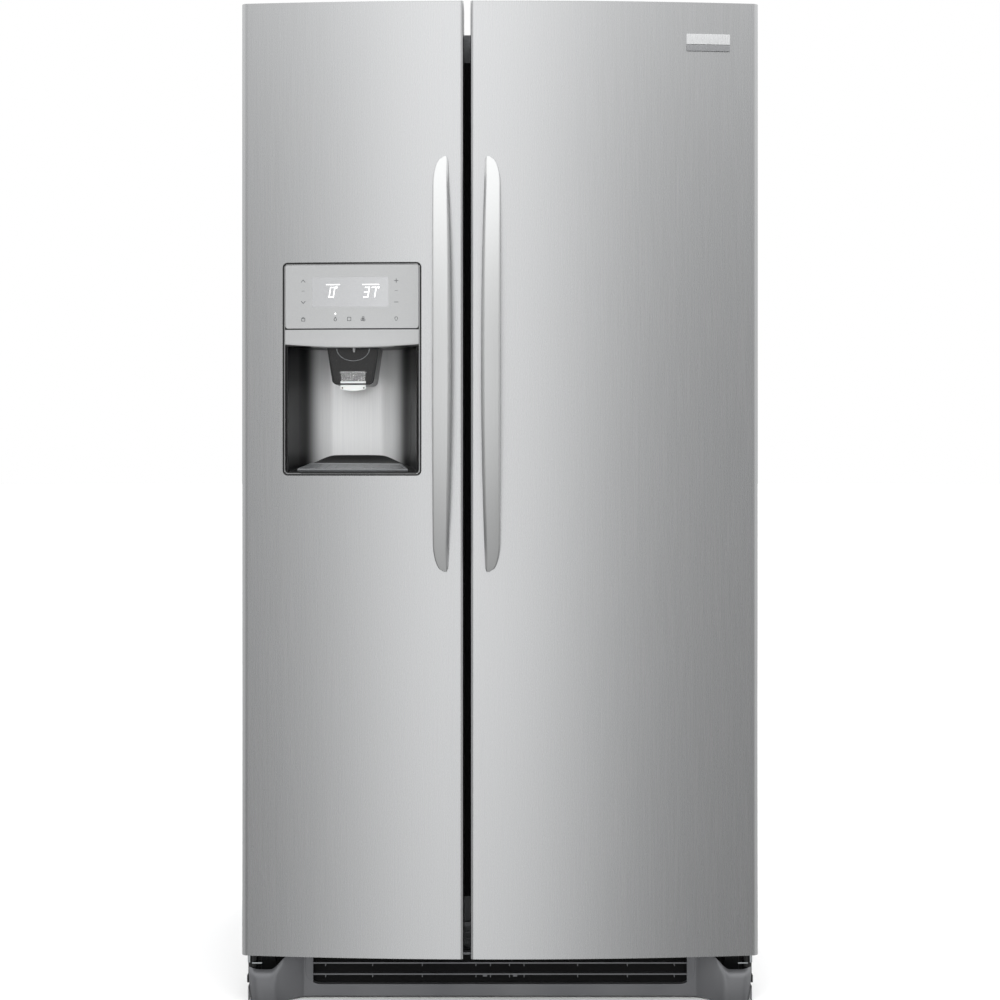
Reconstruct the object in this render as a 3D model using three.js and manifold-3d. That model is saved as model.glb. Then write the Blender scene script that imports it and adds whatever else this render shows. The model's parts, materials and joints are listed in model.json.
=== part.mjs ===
// A side by side refrigerator: a narrow freezer door with an ice and water dispenser on the left
// and a wide fresh food door on the right, both closing on one foamed cabinet.
// Millimetres, +Z up, front towards -Y, origin on the floor under the middle of the whole object.
import * as THREE from "three";
import { mergeVertices } from "three/addons/utils/BufferGeometryUtils.js";
import Module from "manifold-3d";

const wasm = await Module();
wasm.setup();

// ---- Driving dimensions -------------------------------------------------------------------
const GAP = 0.3; // air between two pieces that rest on each other
const SHEET = 1.5; // folded steel
const SKIN = 2.5; // vacuum formed liner

const DOOR_HALF = 457; // half the width over both doors
const CASE_HALF = 452.5;
const CASE_BOTTOM = 100; // underside of the foam
const SKIRT_LOW = 30; // bottom edge of the case sides
const INLET_HALF = 436; // open front below the compartments
const CASE_TOP = 1731;
const DOOR_BOTTOM = 86;
const DOOR_TOP = 1768;

const HANDLE_STANDOFF = 56; // handle front to door face
const DOOR_BULGE = 24; // how far the middle of the front stands before its outer corners
const DOOR_THICK = 62; // at the outer corner
const GASKET_THICK = 14;
const CASE_DEPTH = 702; // front face to the outside of the back panel
const REAR_COVER_RISE = 23;

const HINGE_SEAT = { in: 372, deep: 122, drop: 0.8 }; // set down in the top, under each upper hinge

const HANDLE_REACH = GASKET_THICK + DOOR_THICK + DOOR_BULGE + HANDLE_STANDOFF;
const REAR = (CASE_DEPTH + REAR_COVER_RISE + HANDLE_REACH) / 2;
const FACE = REAR - CASE_DEPTH - REAR_COVER_RISE; // cabinet front face
const BACK = FACE + CASE_DEPTH;
const DOOR_BACK = FACE - GASKET_THICK;
const DOOR_EDGE = DOOR_BACK - DOOR_THICK;

// The mullion stands off centre, so the freezer is the narrow side.
const MULLION_X = -58;
const MULLION_HALF = 30;
const DOOR_GAP = 12.6;
const FREEZER_DOOR = [-DOOR_HALF, MULLION_X - DOOR_GAP / 2];
const FRIDGE_DOOR = [MULLION_X + DOOR_GAP / 2, DOOR_HALF];

const FREEZER_LEFT = -397.5;
const FREEZER_RIGHT = MULLION_X - MULLION_HALF;
const FRIDGE_LEFT = MULLION_X + MULLION_HALF;
const FRIDGE_RIGHT = 404.5;
const CAVITY_FLOOR = 170;
const CAVITY_TOP = 1681;
const CAVITY_BACK = FACE + 645;
const HUMP_FRONT = FACE + 480; // step in the cavity floor over the machine compartment
const HUMP_TOP = 330;
const MACHINE_FRONT = HUMP_FRONT + 30;
const MACHINE_TOP = HUMP_TOP - 30;
const MACHINE_HALF = 428;

const PIN_X = 440; // hinge pins, both sides
const PIN_Y = DOOR_BACK - 34;
const PIN_R = 5.5;
const PIN_HOLE_R = 6.2;
const PIN_DEEP = 16;

const DYKE_REACH = FACE + 40; // how far the door liners reach into the cabinet
const DYKE_WALL = 22;
const DYKE_LOW = 186;
const DYKE_HIGH = 1665;
const FREEZER_DYKE = [-385, FREEZER_RIGHT - 14];
const FRIDGE_DYKE = [FRIDGE_LEFT + 14, 392.5];

const DISPENSER_X = (FREEZER_DOOR[0] + FREEZER_DOOR[1]) / 2;
const DISPENSER_W = 246;
const DISPENSER_LOW = 934;
const DISPENSER_HIGH = 1310;
const RECESS_HIGH = 1161;
const RECESS_BACK = DOOR_BACK + 46;
const DISPENSER_REACH = FACE + 60; // back of the thicker stretch of door behind the recess
const DISPENSER_CORNER = 10;
const PANEL_LOW = 1192;

// ---- Materials ----------------------------------------------------------------------------
function finish(color, roughness, metalness) {
  return new THREE.MeshStandardMaterial({ color, roughness, metalness });
}

const stainless = finish(0xb8babb, 0.32, 0.9);
const handleSteel = finish(0xd0d1d2, 0.28, 0.9);
const casePaint = finish(0x6e7073, 0.5, 0.2);
const zinc = finish(0xb5b8ba, 0.35, 0.9);
const whitePlastic = finish(0xeef0f0, 0.45, 0);
const clearPlastic = finish(0xdfe8ea, 0.15, 0);
const greyPlastic = finish(0x55575a, 0.45, 0.1);
const silverPlastic = finish(0xc4c6c7, 0.35, 0.4);
const blackPlastic = finish(0x151617, 0.35, 0);
const rubber = finish(0x3a3b3d, 0.85, 0);
const foam = finish(0xe3d9b0, 0.9, 0);
const glass = finish(0xd5e4e2, 0.05, 0);
const blackSteel = finish(0x1d1e20, 0.45, 0.3);
const castAluminium = finish(0xa9acae, 0.4, 0.9);

// ---- Solid helpers ------------------------------------------------------------------------
function solid(geometry) {
  const bare = geometry.index ? geometry.toNonIndexed() : geometry.clone();
  bare.deleteAttribute("normal");
  bare.deleteAttribute("uv");
  const merged = mergeVertices(bare, 1e-3);
  const made = new wasm.Mesh({
    numProp: 3,
    vertProperties: merged.attributes.position.array,
    triVerts: new Uint32Array(merged.index.array),
  });
  return new wasm.Manifold(made);
}

function geometryOf(shape) {
  const { vertProperties, triVerts } = shape.getMesh();
  const indexed = new THREE.BufferGeometry();
  indexed.setAttribute("position", new THREE.BufferAttribute(vertProperties, 3));
  indexed.setIndex(new THREE.BufferAttribute(triVerts, 1));
  const faceted = indexed.toNonIndexed();
  faceted.computeVertexNormals();
  return faceted;
}

function box([x0, x1], [y0, y1], [z0, z1]) {
  const block = new THREE.BoxGeometry(x1 - x0, y1 - y0, z1 - z0);
  return solid(block.translate((x0 + x1) / 2, (y0 + y1) / 2, (z0 + z1) / 2));
}

// A flat outline in X and Y, carried up from z0 to z1.
function prism(outline, z0, z1, curveSegments = 6) {
  const depth = z1 - z0;
  const block = new THREE.ExtrudeGeometry(outline, { depth, bevelEnabled: false, curveSegments });
  return solid(block.translate(0, 0, z0));
}

// A flat outline in X and Z, carried back from y0 to y1.
function plate(outline, y0, y1, curveSegments = 6) {
  const depth = y1 - y0;
  const block = new THREE.ExtrudeGeometry(outline, { depth, bevelEnabled: false, curveSegments });
  return solid(block.rotateX(Math.PI / 2).translate(0, y1, 0));
}

// A flat outline in Y and Z, carried right from x0 to x1.
function slab(outline, x0, x1, curveSegments = 6) {
  const depth = x1 - x0;
  const block = new THREE.ExtrudeGeometry(outline, { depth, bevelEnabled: false, curveSegments });
  return solid(block.rotateY(Math.PI / 2).rotateX(Math.PI / 2).translate(x0, 0, 0));
}

function cylinder(axis, radius, length, [x, y, z], sides = 16) {
  const rod = new THREE.CylinderGeometry(radius, radius, length, sides);
  if (axis === "x") rod.rotateZ(Math.PI / 2);
  if (axis === "z") rod.rotateX(Math.PI / 2);
  return solid(rod.translate(x, y, z));
}

function polygon(points) {
  return new THREE.Shape(points.map(([a, b]) => new THREE.Vector2(a, b)));
}

function roundedRectangle([a0, a1], [b0, b1], r) {
  const shape = new THREE.Shape();
  shape.moveTo(a0 + r, b0);
  shape.lineTo(a1 - r, b0);
  shape.absarc(a1 - r, b0 + r, r, -Math.PI / 2, 0);
  shape.lineTo(a1, b1 - r);
  shape.absarc(a1 - r, b1 - r, r, 0, Math.PI / 2);
  shape.lineTo(a0 + r, b1);
  shape.absarc(a0 + r, b1 - r, r, Math.PI / 2, Math.PI);
  shape.lineTo(a0, b0 + r);
  shape.absarc(a0 + r, b0 + r, r, Math.PI, 1.5 * Math.PI);
  return shape;
}

// An open-topped tub with walls of one thickness.
function tub(x, y, z, wall) {
  const inner = box(
    [x[0] + wall, x[1] - wall],
    [y[0] + wall, y[1] - wall],
    [z[0] + wall, z[1] + 1],
  );
  return box(x, y, z).subtract(inner);
}

function union(...shapes) {
  return shapes.reduce((joined, next) => joined.add(next));
}

const refrigerator = new THREE.Group();

function add(group, name, shape, material, position = [0, 0, 0]) {
  const mesh = new THREE.Mesh(shape.isBufferGeometry ? shape : geometryOf(shape), material);
  mesh.name = name;
  mesh.position.set(...position);
  group.add(mesh);
}

function newGroup(parent, position = [0, 0, 0]) {
  const group = new THREE.Group();
  group.position.set(...position);
  parent.add(group);
  return group;
}

// ---- Doors --------------------------------------------------------------------------------
// The front of both doors lies on one shallow arc across the whole width.
function doorFace(x) {
  return DOOR_EDGE - DOOR_BULGE * (1 - (x / DOOR_HALF) ** 2);
}

// Plan outline of a door body, inset from the outside of the skin, running from back to back.
function doorOutline([x0, x1], inset, cornerLeft, cornerRight, back) {
  const left = x0 + inset;
  const right = x1 - inset;
  const points = [[left, back]];
  const corner = (x, r, from) => {
    for (let i = 0; i <= 4; i++) {
      const turn = from + (i / 4) * (Math.PI / 2);
      const cx = x + (from === Math.PI ? r : -r);
      const cy = doorFace(cx) + inset + r;
      points.push([cx + r * Math.cos(turn), cy + r * Math.sin(turn)]);
    }
  };
  corner(left, cornerLeft, Math.PI);
  const steps = 14;
  for (let i = 1; i < steps; i++) {
    const x = left + cornerLeft + ((right - cornerRight - left - cornerLeft) * i) / steps;
    points.push([x, doorFace(x) + inset]);
  }
  corner(right, cornerRight, 1.5 * Math.PI);
  points.push([right, back]);
  return polygon(points);
}

// Front outline of the dispenser.
function dispenserHole(inset) {
  const half = DISPENSER_W / 2 - inset;
  return roundedRectangle(
    [DISPENSER_X - half, DISPENSER_X + half],
    [DISPENSER_LOW + inset, DISPENSER_HIGH - inset],
    DISPENSER_CORNER - inset / 2,
  );
}

// Folded stainless sheet: the arc of the front and a return down each side.
function doorSkin(span, cornerLeft, cornerRight) {
  const outer = prism(doorOutline(span, 0, cornerLeft, cornerRight, DOOR_BACK), DOOR_BOTTOM, DOOR_TOP);
  const inner = prism(
    doorOutline(span, SHEET, cornerLeft - SHEET, cornerRight - SHEET, DOOR_BACK + 5),
    DOOR_BOTTOM - 1,
    DOOR_TOP + 1,
  );
  return outer.subtract(inner);
}

// Foamed inner door: end caps, foam and the formed liner with its dyke, as one bonded body.
function doorBody(span, dyke, cornerLeft, cornerRight, pinX) {
  const inset = SHEET + GAP;
  const core = prism(
    doorOutline(span, inset, cornerLeft - SHEET, cornerRight - SHEET, DOOR_BACK),
    DOOR_BOTTOM + 0.5,
    DOOR_TOP - 0.5,
  );
  const rim = box(dyke, [DOOR_BACK - 1, DYKE_REACH], [DYKE_LOW, DYKE_HIGH]);
  const pocket = box(
    [dyke[0] + DYKE_WALL, dyke[1] - DYKE_WALL],
    [DOOR_BACK, DYKE_REACH + 1],
    [DYKE_LOW + DYKE_WALL, DYKE_HIGH - DYKE_WALL],
  );
  const pinHole = (z) => cylinder("z", PIN_HOLE_R, 2 * PIN_DEEP + 4, [pinX, PIN_Y, z]);
  const body = core.add(rim).subtract(pocket);
  return body.subtract(pinHole(DOOR_TOP)).subtract(pinHole(DOOR_BOTTOM));
}

// Magnetic seal, a flat ring on the back of the door.
function gasket([x0, x1], y1) {
  const width = 16;
  const [low, high] = [112, 1708];
  const ring = box([x0, x1], [DOOR_BACK + GAP, y1], [low, high]);
  const inside = box(
    [x0 + width, x1 - width],
    [DOOR_BACK - 1, y1 + 1],
    [low + width, high - width],
  );
  return ring.subtract(inside);
}

const HANDLE_SPAN = [766, 1494];
const HANDLE_TIP = 6; // how far the tips stand off the door

// Bowed pull: its outer edge is straight, its inner edge and its front are bowed.
// side is +1 where the bowed edge faces right, -1 where it faces left.
function handle(edgeX, side, face) {
  const [low, high] = HANDLE_SPAN;
  const half = (high - low) / 2;
  const middle = (high + low) / 2;
  const steps = 18;
  const rings = [];
  for (let i = 0; i <= steps; i++) {
    const t = -1 + (2 * i) / steps;
    const arch = 1 - Math.abs(t) ** 2.6;
    const tip = Math.sqrt(Math.max(0, 1 - Math.abs(t) ** 14));
    const width = (26 + 7 * (1 - t * t)) * (0.35 + 0.65 * tip);
    const front = face - HANDLE_TIP - (HANDLE_STANDOFF - HANDLE_TIP) * arch;
    const thick = HANDLE_TIP - GAP + 12 * Math.min(1, arch * 3);
    const inner = edgeX + side * (26 + 7 * (1 - t * t));
    const outer = inner - side * width;
    const z = middle + t * half;
    rings.push({ inner, outer, front, back: front + thick, z });
  }
  const section = ({ inner, outer, front, back, z }) => {
    const span = outer - inner;
    const crown = 4;
    return [
      [inner, back, z],
      [inner, front + crown, z],
      [inner + 0.15 * span, front + 0.8, z],
      [inner + 0.5 * span, front, z],
      [inner + 0.85 * span, front + 1.6, z],
      [outer, front + crown + 2, z],
      [outer, back, z],
    ];
  };
  return loft(rings.map(section), side > 0);
}

// Closed body through rings of points that all have the same count.
function loft(rings, flip) {
  const count = rings[0].length;
  const position = rings.flat(2);
  const index = [];
  const triangle = (a, b, c) => index.push(a, flip ? c : b, flip ? b : c);
  for (let r = 0; r + 1 < rings.length; r++) {
    for (let i = 0; i < count; i++) {
      const a = r * count + i;
      const b = r * count + ((i + 1) % count);
      triangle(a, b, b + count);
      triangle(a, b + count, a + count);
    }
  }
  const last = (rings.length - 1) * count;
  for (let i = 1; i + 1 < count; i++) {
    triangle(0, i + 1, i);
    triangle(last, last + i, last + i + 1);
  }
  const body = new THREE.BufferGeometry();
  body.setAttribute("position", new THREE.Float32BufferAttribute(position, 3));
  body.setIndex(index);
  return solid(body);
}

// The pull with the two short feet that carry it on the door.
function handleWithFeet(edgeX, side) {
  const centre = edgeX + side * 15;
  const face = doorFace(centre);
  const foot = (z) => box([centre - 7, centre + 7], [face - 16, face - GAP], [z - 14, z + 14]);
  const feet = [HANDLE_SPAN[0] + 24, HANDLE_SPAN[1] - 24].map(foot);
  return union(handle(edgeX, side, face), ...feet);
}

// ---- Freezer door -------------------------------------------------------------------------
function recessOutline(inset) {
  const half = DISPENSER_W / 2 - 7;
  const taper = 24;
  const front = DOOR_EDGE - DOOR_BULGE - 20;
  return polygon([
    [DISPENSER_X - half + inset, front],
    [DISPENSER_X + half - inset, front],
    [DISPENSER_X + half - inset, doorFace(DISPENSER_X) + 12],
    [DISPENSER_X + half - taper - inset, RECESS_BACK - 16 - inset],
    [DISPENSER_X + half - taper - 22 - inset, RECESS_BACK - inset],
    [DISPENSER_X - half + taper + 22 + inset, RECESS_BACK - inset],
    [DISPENSER_X - half + taper + inset, RECESS_BACK - 16 - inset],
    [DISPENSER_X - half + inset, doorFace(DISPENSER_X) + 12],
  ]);
}

// Front of the dispenser follows the arc of the door, standing proud of it by lift.
function frontCutter(lift) {
  const half = DISPENSER_W / 2 + 4;
  const points = [];
  for (let i = 0; i <= 6; i++) {
    const x = DISPENSER_X - half + (2 * half * i) / 6;
    points.push([x, doorFace(x) - lift]);
  }
  points.push([DISPENSER_X + half, RECESS_BACK + 40]);
  points.push([DISPENSER_X - half, RECESS_BACK + 40]);
  return prism(polygon(points), DISPENSER_LOW - 5, DISPENSER_HIGH + 5);
}

function dispenserHousing() {
  const block = plate(dispenserHole(GAP), DOOR_EDGE - DOOR_BULGE - 12, RECESS_BACK + 3);
  const recess = prism(recessOutline(0), RECESS_FLOOR, RECESS_HIGH);
  const panelSeat = box(
    [DISPENSER_X - DISPENSER_W / 2 + 3, DISPENSER_X + DISPENSER_W / 2 - 3],
    [DOOR_EDGE - DOOR_BULGE - 20, doorFace(DISPENSER_X) + 12],
    [PANEL_LOW, DISPENSER_HIGH - 3],
  );
  const chute = cylinder("z", 21, 60, [...CHUTE, RECESS_HIGH + 28], 20);
  return block.intersect(frontCutter(1)).subtract(recess).subtract(panelSeat).subtract(chute);
}

function controlPanel() {
  const half = DISPENSER_W / 2 - 3 - GAP;
  const face = roundedRectangle(
    [DISPENSER_X - half, DISPENSER_X + half],
    [PANEL_LOW + GAP, DISPENSER_HIGH - 3 - GAP],
    6,
  );
  const blank = plate(face, DOOR_EDGE - DOOR_BULGE - 12, doorFace(DISPENSER_X) + 12 - GAP);
  return blank.intersect(frontCutter(1.5));
}

const HOOD_Y = [doorFace(DISPENSER_X) + 26, RECESS_BACK - GAP];
const HOOD_LOW = RECESS_HIGH - 66;
const CHUTE = [DISPENSER_X, HOOD_Y[0] + 45];
const PADDLE_PIVOT = [DISPENSER_X, HOOD_Y[0] + 3, RECESS_HIGH - 44];
const FLAP_PIVOT = [DISPENSER_X, CHUTE[1] + 17, RECESS_HIGH - 23];

// Black hood round the ice chute and the water nozzle, open below.
function chuteHood() {
  const top = RECESS_HIGH - GAP;
  const outline = (inset) =>
    polygon([
      [DISPENSER_X - 46 + inset, top],
      [DISPENSER_X + 46 - inset, top],
      [DISPENSER_X + 36 - inset, HOOD_LOW],
      [DISPENSER_X - 36 + inset, HOOD_LOW],
    ]);
  const hood = plate(outline(0), ...HOOD_Y);
  const inside = plate(outline(3), HOOD_Y[0] + 3, HOOD_Y[1] - 3);
  const notch = box(
    [DISPENSER_X - 25, DISPENSER_X + 25],
    [HOOD_Y[0] - 1, HOOD_Y[0] + 5],
    [0, RECESS_HIGH - 38],
  );
  const ceiling = box([DISPENSER_X - 45, DISPENSER_X + 45], HOOD_Y, [top - 3, top]);
  const lip = cylinder("z", 24, 26, [...CHUTE, top - 13], 20);
  const mouth = cylinder("z", 21, 60, [...CHUTE, top], 20);
  const nozzle = cylinder("z", 4, 22, [DISPENSER_X, HOOD_Y[0] + 12, top - 12], 10);
  return union(hood.subtract(inside).subtract(notch), ceiling, lip, nozzle).subtract(mouth);
}

// Clear cradle that the glass pushes back; it hangs on a cross pin in the notch of the hood.
function paddle() {
  const blade = box([-22, 22], [-2, 1], [-40, 3]);
  const pin = cylinder("x", 2, 49, [0, 0, 0], 10);
  return union(blade, pin);
}

function iceFlap() {
  return union(cylinder("z", 18, 2.5, [0, -17, 0], 16), cylinder("x", 1.5, 16, [0, 0, 0], 10));
}

const RECESS_FLOOR = DISPENSER_LOW + 7;

function dripTray() {
  const low = RECESS_FLOOR + GAP;
  const front = doorFace(DISPENSER_X) + 8;
  const stretch = box([-DOOR_HALF, 0], [front, RECESS_BACK - 20], [low, low + 9]);
  const tray = prism(recessOutline(1.5), low, low + 9).intersect(stretch);
  const slots = [];
  for (let i = -4; i <= 4; i++) {
    const x = DISPENSER_X + i * 18;
    slots.push(box([x - 3, x + 3], [front + 10, RECESS_BACK - 30], [low + 3, low + 10]));
  }
  return slots.reduce((made, slot) => made.subtract(slot), tray);
}

// A shelf bin on the inside of a door, with a retaining rail over its front wall.
function doorBin([x0, x1], reach, low, high) {
  const front = [reach - 3, reach];
  const rail = box([x0 + 20, x1 - 20], front, [high + 10, high + 16]);
  const posts = [x0 + 20, x1 - 26].map((x) => box([x, x + 6], front, [high - 5, high + 16]));
  return union(tub([x0, x1], [DOOR_BACK + GAP, reach], [low, high], 3), rail, ...posts);
}

// ---- Cabinet ------------------------------------------------------------------------------
// Folded top and sides with a narrow flange round the front, and a seat in the top for each hinge;
// the sides run on down past the foam.
function caseWrapper() {
  const outer = box([-CASE_HALF, CASE_HALF], [FACE, BACK - 2], [SKIRT_LOW, CASE_TOP]);
  const inner = box(
    [-CASE_HALF + SHEET, CASE_HALF - SHEET],
    [FACE + SHEET, BACK + 1],
    [SKIRT_LOW - 1, CASE_TOP - SHEET],
  );
  const mouth = box([FREEZER_LEFT, FRIDGE_RIGHT], [FACE - 1, FACE + 3], [CAVITY_FLOOR, CAVITY_TOP]);
  const inlet = box([-INLET_HALF, INLET_HALF], [FACE - 1, FACE + 3], [SKIRT_LOW - 1, CASE_BOTTOM]);
  const seats = [-1, 1].map((side) => {
    const across = side < 0 ? [-CASE_HALF - 1, -HINGE_SEAT.in] : [HINGE_SEAT.in, CASE_HALF + 1];
    return box(across, [FACE - 1, FACE + HINGE_SEAT.deep], [CASE_TOP - HINGE_SEAT.drop, CASE_TOP + 1]);
  });
  return outer.subtract(union(inner, mouth, inlet, ...seats));
}

function cavity(x0, x1, inset) {
  const room = box(
    [x0 + inset, x1 - inset],
    [FACE - 5, CAVITY_BACK - inset],
    [CAVITY_FLOOR + inset, CAVITY_TOP - inset],
  );
  const hump = box(
    [x0 - 5, x1 + 5],
    [HUMP_FRONT - inset, CAVITY_BACK + 5],
    [CAVITY_FLOOR - 5, HUMP_TOP + inset],
  );
  return room.subtract(hump);
}

function insulation() {
  const clear = SHEET + GAP;
  const block = box(
    [-CASE_HALF + clear, CASE_HALF - clear],
    [FACE + clear, BACK - 2],
    [CASE_BOTTOM + 0.5, CASE_TOP - clear],
  );
  const machine = box([-MACHINE_HALF, MACHINE_HALF], [MACHINE_FRONT, BACK + 5], [0, MACHINE_TOP]);
  return block
    .subtract(cavity(FREEZER_LEFT, FREEZER_RIGHT, 0))
    .subtract(cavity(FRIDGE_LEFT, FRIDGE_RIGHT, 0))
    .subtract(machine);
}

function liner(x0, x1) {
  const behindFace = box([-900, 900], [FACE + SHEET + GAP, BACK], [0, 2000]);
  const shell = cavity(x0, x1, GAP).subtract(cavity(x0, x1, GAP + SKIN));
  return shell.intersect(behindFace);
}

function mullionCover() {
  return box(
    [FREEZER_RIGHT + GAP, FRIDGE_LEFT - GAP],
    [FACE, FACE + SHEET],
    [CAVITY_FLOOR + GAP, CAVITY_TOP - GAP],
  );
}

function backPanel() {
  return box([-CASE_HALF + 3, CASE_HALF - 3], [BACK - 2 + GAP, BACK], [MACHINE_TOP + 4, CASE_TOP - 3]);
}

// Louvred cover over the machine compartment, a shallow pan.
function rearCover() {
  const [x0, x1] = [-CASE_HALF + 6, CASE_HALF - 6];
  const [low, high] = [46, MACHINE_TOP + 2];
  const pan = box([x0, x1], [BACK - 2, REAR], [low, high]);
  const inside = box([x0 + 2, x1 - 2], [BACK - 3, REAR - 2], [low + 2, high - 2]);
  const slots = [];
  for (let i = 0; i < 8; i++) {
    const x = x0 + 60 + i * 96;
    slots.push(box([x, x + 70], [REAR - 5, REAR + 5], [low + 60, low + 70]));
    slots.push(box([x, x + 70], [REAR - 5, REAR + 5], [low + 95, low + 105]));
  }
  const gland = cylinder("y", 9, 12, [GLAND[0], REAR, GLAND[2]]);
  return slots.reduce((made, slot) => made.subtract(slot), pan.subtract(inside)).subtract(gland);
}

const GLAND = [330, REAR, 76];

// Strain relief bush for the supply lead, with its flange behind the cover.
function cordGland() {
  const profile = [
    [3.5, -9],
    [8.5, -9],
    [8.5, -5.3],
    [11.5, -5.3],
    [11.5, -2.3],
    [8.5, -2.3],
    [8.5, 0],
    [3.5, 0],
    [3.5, -9],
  ].map(([r, h]) => new THREE.Vector2(r, h));
  return solid(new THREE.LatheGeometry(profile, 16));
}

const WHEEL_R = 22;
const WHEEL_X = 385;
const WHEEL_Y = FACE + 640;
const WHEEL_HALF = 12;
const LEG_Y = FACE + 24;
const LEG_X = 410;

// Pressed undercarriage: side channels behind the skirts, roller cheeks, cross members and a pan.
function baseFrame() {
  const top = CASE_BOTTOM - GAP;
  const outside = CASE_HALF - SHEET - GAP;
  const parts = [];
  for (const side of [-1, 1]) {
    const across = (near, far) => (side < 0 ? [-far, -near] : [near, far]);
    const x = side * WHEEL_X;
    const legX = side * LEG_X;
    parts.push(box(across(359, outside), [FACE + 12, BACK - 20], [top - 6, top]));
    parts.push(box(across(outside - 2, outside), [FACE + 2, BACK - 6], [SKIRT_LOW + 2, top]));
    for (const cheek of [x - 17.5, x + 17.5]) {
      const plane = [cheek - 1.5, cheek + 1.5];
      parts.push(box(plane, [WHEEL_Y - 16, WHEEL_Y + 16], [WHEEL_R - 8, top - 1]));
    }
    parts.push(cylinder("x", 4, 36, [x, WHEEL_Y, WHEEL_R], 12));
    parts.push(box([legX - 14, legX + 14], [LEG_Y - 10, LEG_Y + 14], [top - 12, top]));
  }
  const between = [-WHEEL_X - 20, WHEEL_X + 20];
  parts.push(box(between, [FACE + 16, FACE + 40], [top - 24, top]));
  parts.push(box(between, [WHEEL_Y - 60, WHEEL_Y - 20], [top - 8, top]));
  parts.push(box([-WHEEL_X, WHEEL_X], [MACHINE_FRONT + 4, WHEEL_Y - 30], [top - 8, top - 5]));
  const holes = [-1, 1].map((side) => cylinder("z", 7.5, 40, [side * LEG_X, LEG_Y, top - 4]));
  return holes.reduce((made, hole) => made.subtract(hole), union(...parts));
}

function roller() {
  const wheel = cylinder("x", WHEEL_R, 2 * WHEEL_HALF, [0, 0, 0], 24);
  return wheel.subtract(cylinder("x", 4.6, 2 * WHEEL_HALF + 4, [0, 0, 0], 12));
}

// Levelling leg: a round foot on a screw that turns in the undercarriage.
function levellingLeg() {
  return union(cylinder("z", 17, 9, [0, 0, 4.5], 20), cylinder("z", 6.5, 88, [0, 0, 48], 12));
}

const GRILLE_HALF = 347;
const GRILLE_FRONT = FACE - 44;
const GRILLE_THICK = 12;
const GRILLE_LOW = 3.5;
const GRILLE_HIGH = 77;
const TOE_HIGH = 29; // top of the foot covers, under the lower hinges
const TOE_BULGE = 30;

// Outline of the grille's face: low in the middle, and dipping to the foot covers at the ends.
function grilleOutline() {
  const outline = new THREE.Shape();
  outline.moveTo(-444, 1);
  outline.lineTo(-372, 1);
  outline.bezierCurveTo(-352, 1, -350, GRILLE_LOW, -333, GRILLE_LOW);
  outline.lineTo(333, GRILLE_LOW);
  outline.bezierCurveTo(350, GRILLE_LOW, 352, 1, 372, 1);
  outline.lineTo(444, 1);
  outline.lineTo(449, TOE_HIGH);
  outline.lineTo(404, TOE_HIGH);
  outline.bezierCurveTo(388, TOE_HIGH + 4, 380, 44, 370, GRILLE_HIGH);
  outline.lineTo(-370, GRILLE_HIGH);
  outline.bezierCurveTo(-380, 44, -388, TOE_HIGH + 4, -404, TOE_HIGH);
  outline.lineTo(-449, TOE_HIGH);
  return outline;
}

// Moulded toe grille: slats and ribs in one opening, and a foot cover at each end.
function kickPlate() {
  const outline = grilleOutline();
  const [low, high, r] = [15, 69, 22];
  const opening = new THREE.Path();
  opening.moveTo(-GRILLE_HALF, high);
  opening.lineTo(GRILLE_HALF, high);
  opening.lineTo(GRILLE_HALF, low + r);
  opening.absarc(GRILLE_HALF - r, low + r, r, 0, -Math.PI / 2, true);
  opening.lineTo(-GRILLE_HALF + r, low);
  opening.absarc(-GRILLE_HALF + r, low + r, r, -Math.PI / 2, Math.PI, true);
  outline.holes.push(opening);
  const rear = GRILLE_FRONT + GRILLE_THICK;
  const across = [-GRILLE_HALF - 4, GRILLE_HALF + 4];
  const slats = [25.5, 36.5, 48.5, 60].map((z) => box(across, [GRILLE_FRONT + 3, rear], [z - 1, z + 1]));
  const ribs = [-312, -228, -139, -43, 43, 139, 228, 312].map((x) =>
    box([x - 1, x + 1], [GRILLE_FRONT + 6, rear], [low - 2, high + 2]),
  );
  const face = plate(outline, GRILLE_FRONT, rear, 4);
  return union(face, ...slats, ...ribs, toeCover(-1), toeCover(1));
}

// The rounded cover that hides a levelling leg, swelling forward of the grille.
function toeCover(side) {
  const points = [];
  for (let i = 0; i <= 8; i++) {
    const t = i / 8;
    const swell = Math.sin(Math.min(1, t * 1.5) * (Math.PI / 2)) ** 2;
    points.push([side * (374 + 73 * t), GRILLE_FRONT + 1 - TOE_BULGE * swell]);
  }
  const [rear, inner] = [GRILLE_FRONT + GRILLE_THICK, GRILLE_FRONT + 4 - TOE_BULGE];
  const back = [
    [447, rear],
    [443, rear],
    [443, inner],
    [422, inner],
    [400, GRILLE_FRONT - 8],
    [388, GRILLE_FRONT + 8],
    [374, GRILLE_FRONT + 8],
  ];
  points.push(...back.map(([x, y]) => [side * x, y]));
  return prism(polygon(side > 0 ? points : points.reverse()), 1, TOE_HIGH - 1);
}

// ---- Hinges -------------------------------------------------------------------------------
function upperHinge(side) {
  const x = side * PIN_X;
  const span = side < 0 ? [x - 9, x + 40] : [x - 40, x + 9];
  const over = box(span, [PIN_Y - 10, FACE + 8], [DOOR_TOP + 1, DOOR_TOP + 5]);
  const riser = box(span, [FACE + 4, FACE + 8], [CASE_TOP + GAP, DOOR_TOP + 5]);
  const base = box(span, [FACE + 4, FACE + 90], [CASE_TOP + GAP, CASE_TOP + 4]);
  const pin = cylinder("z", PIN_R, PIN_DEEP, [x, PIN_Y, DOOR_TOP + 2 - PIN_DEEP / 2]);
  return union(over, riser, base, pin);
}

const HINGE_ARM_LOW = 32;

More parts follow.
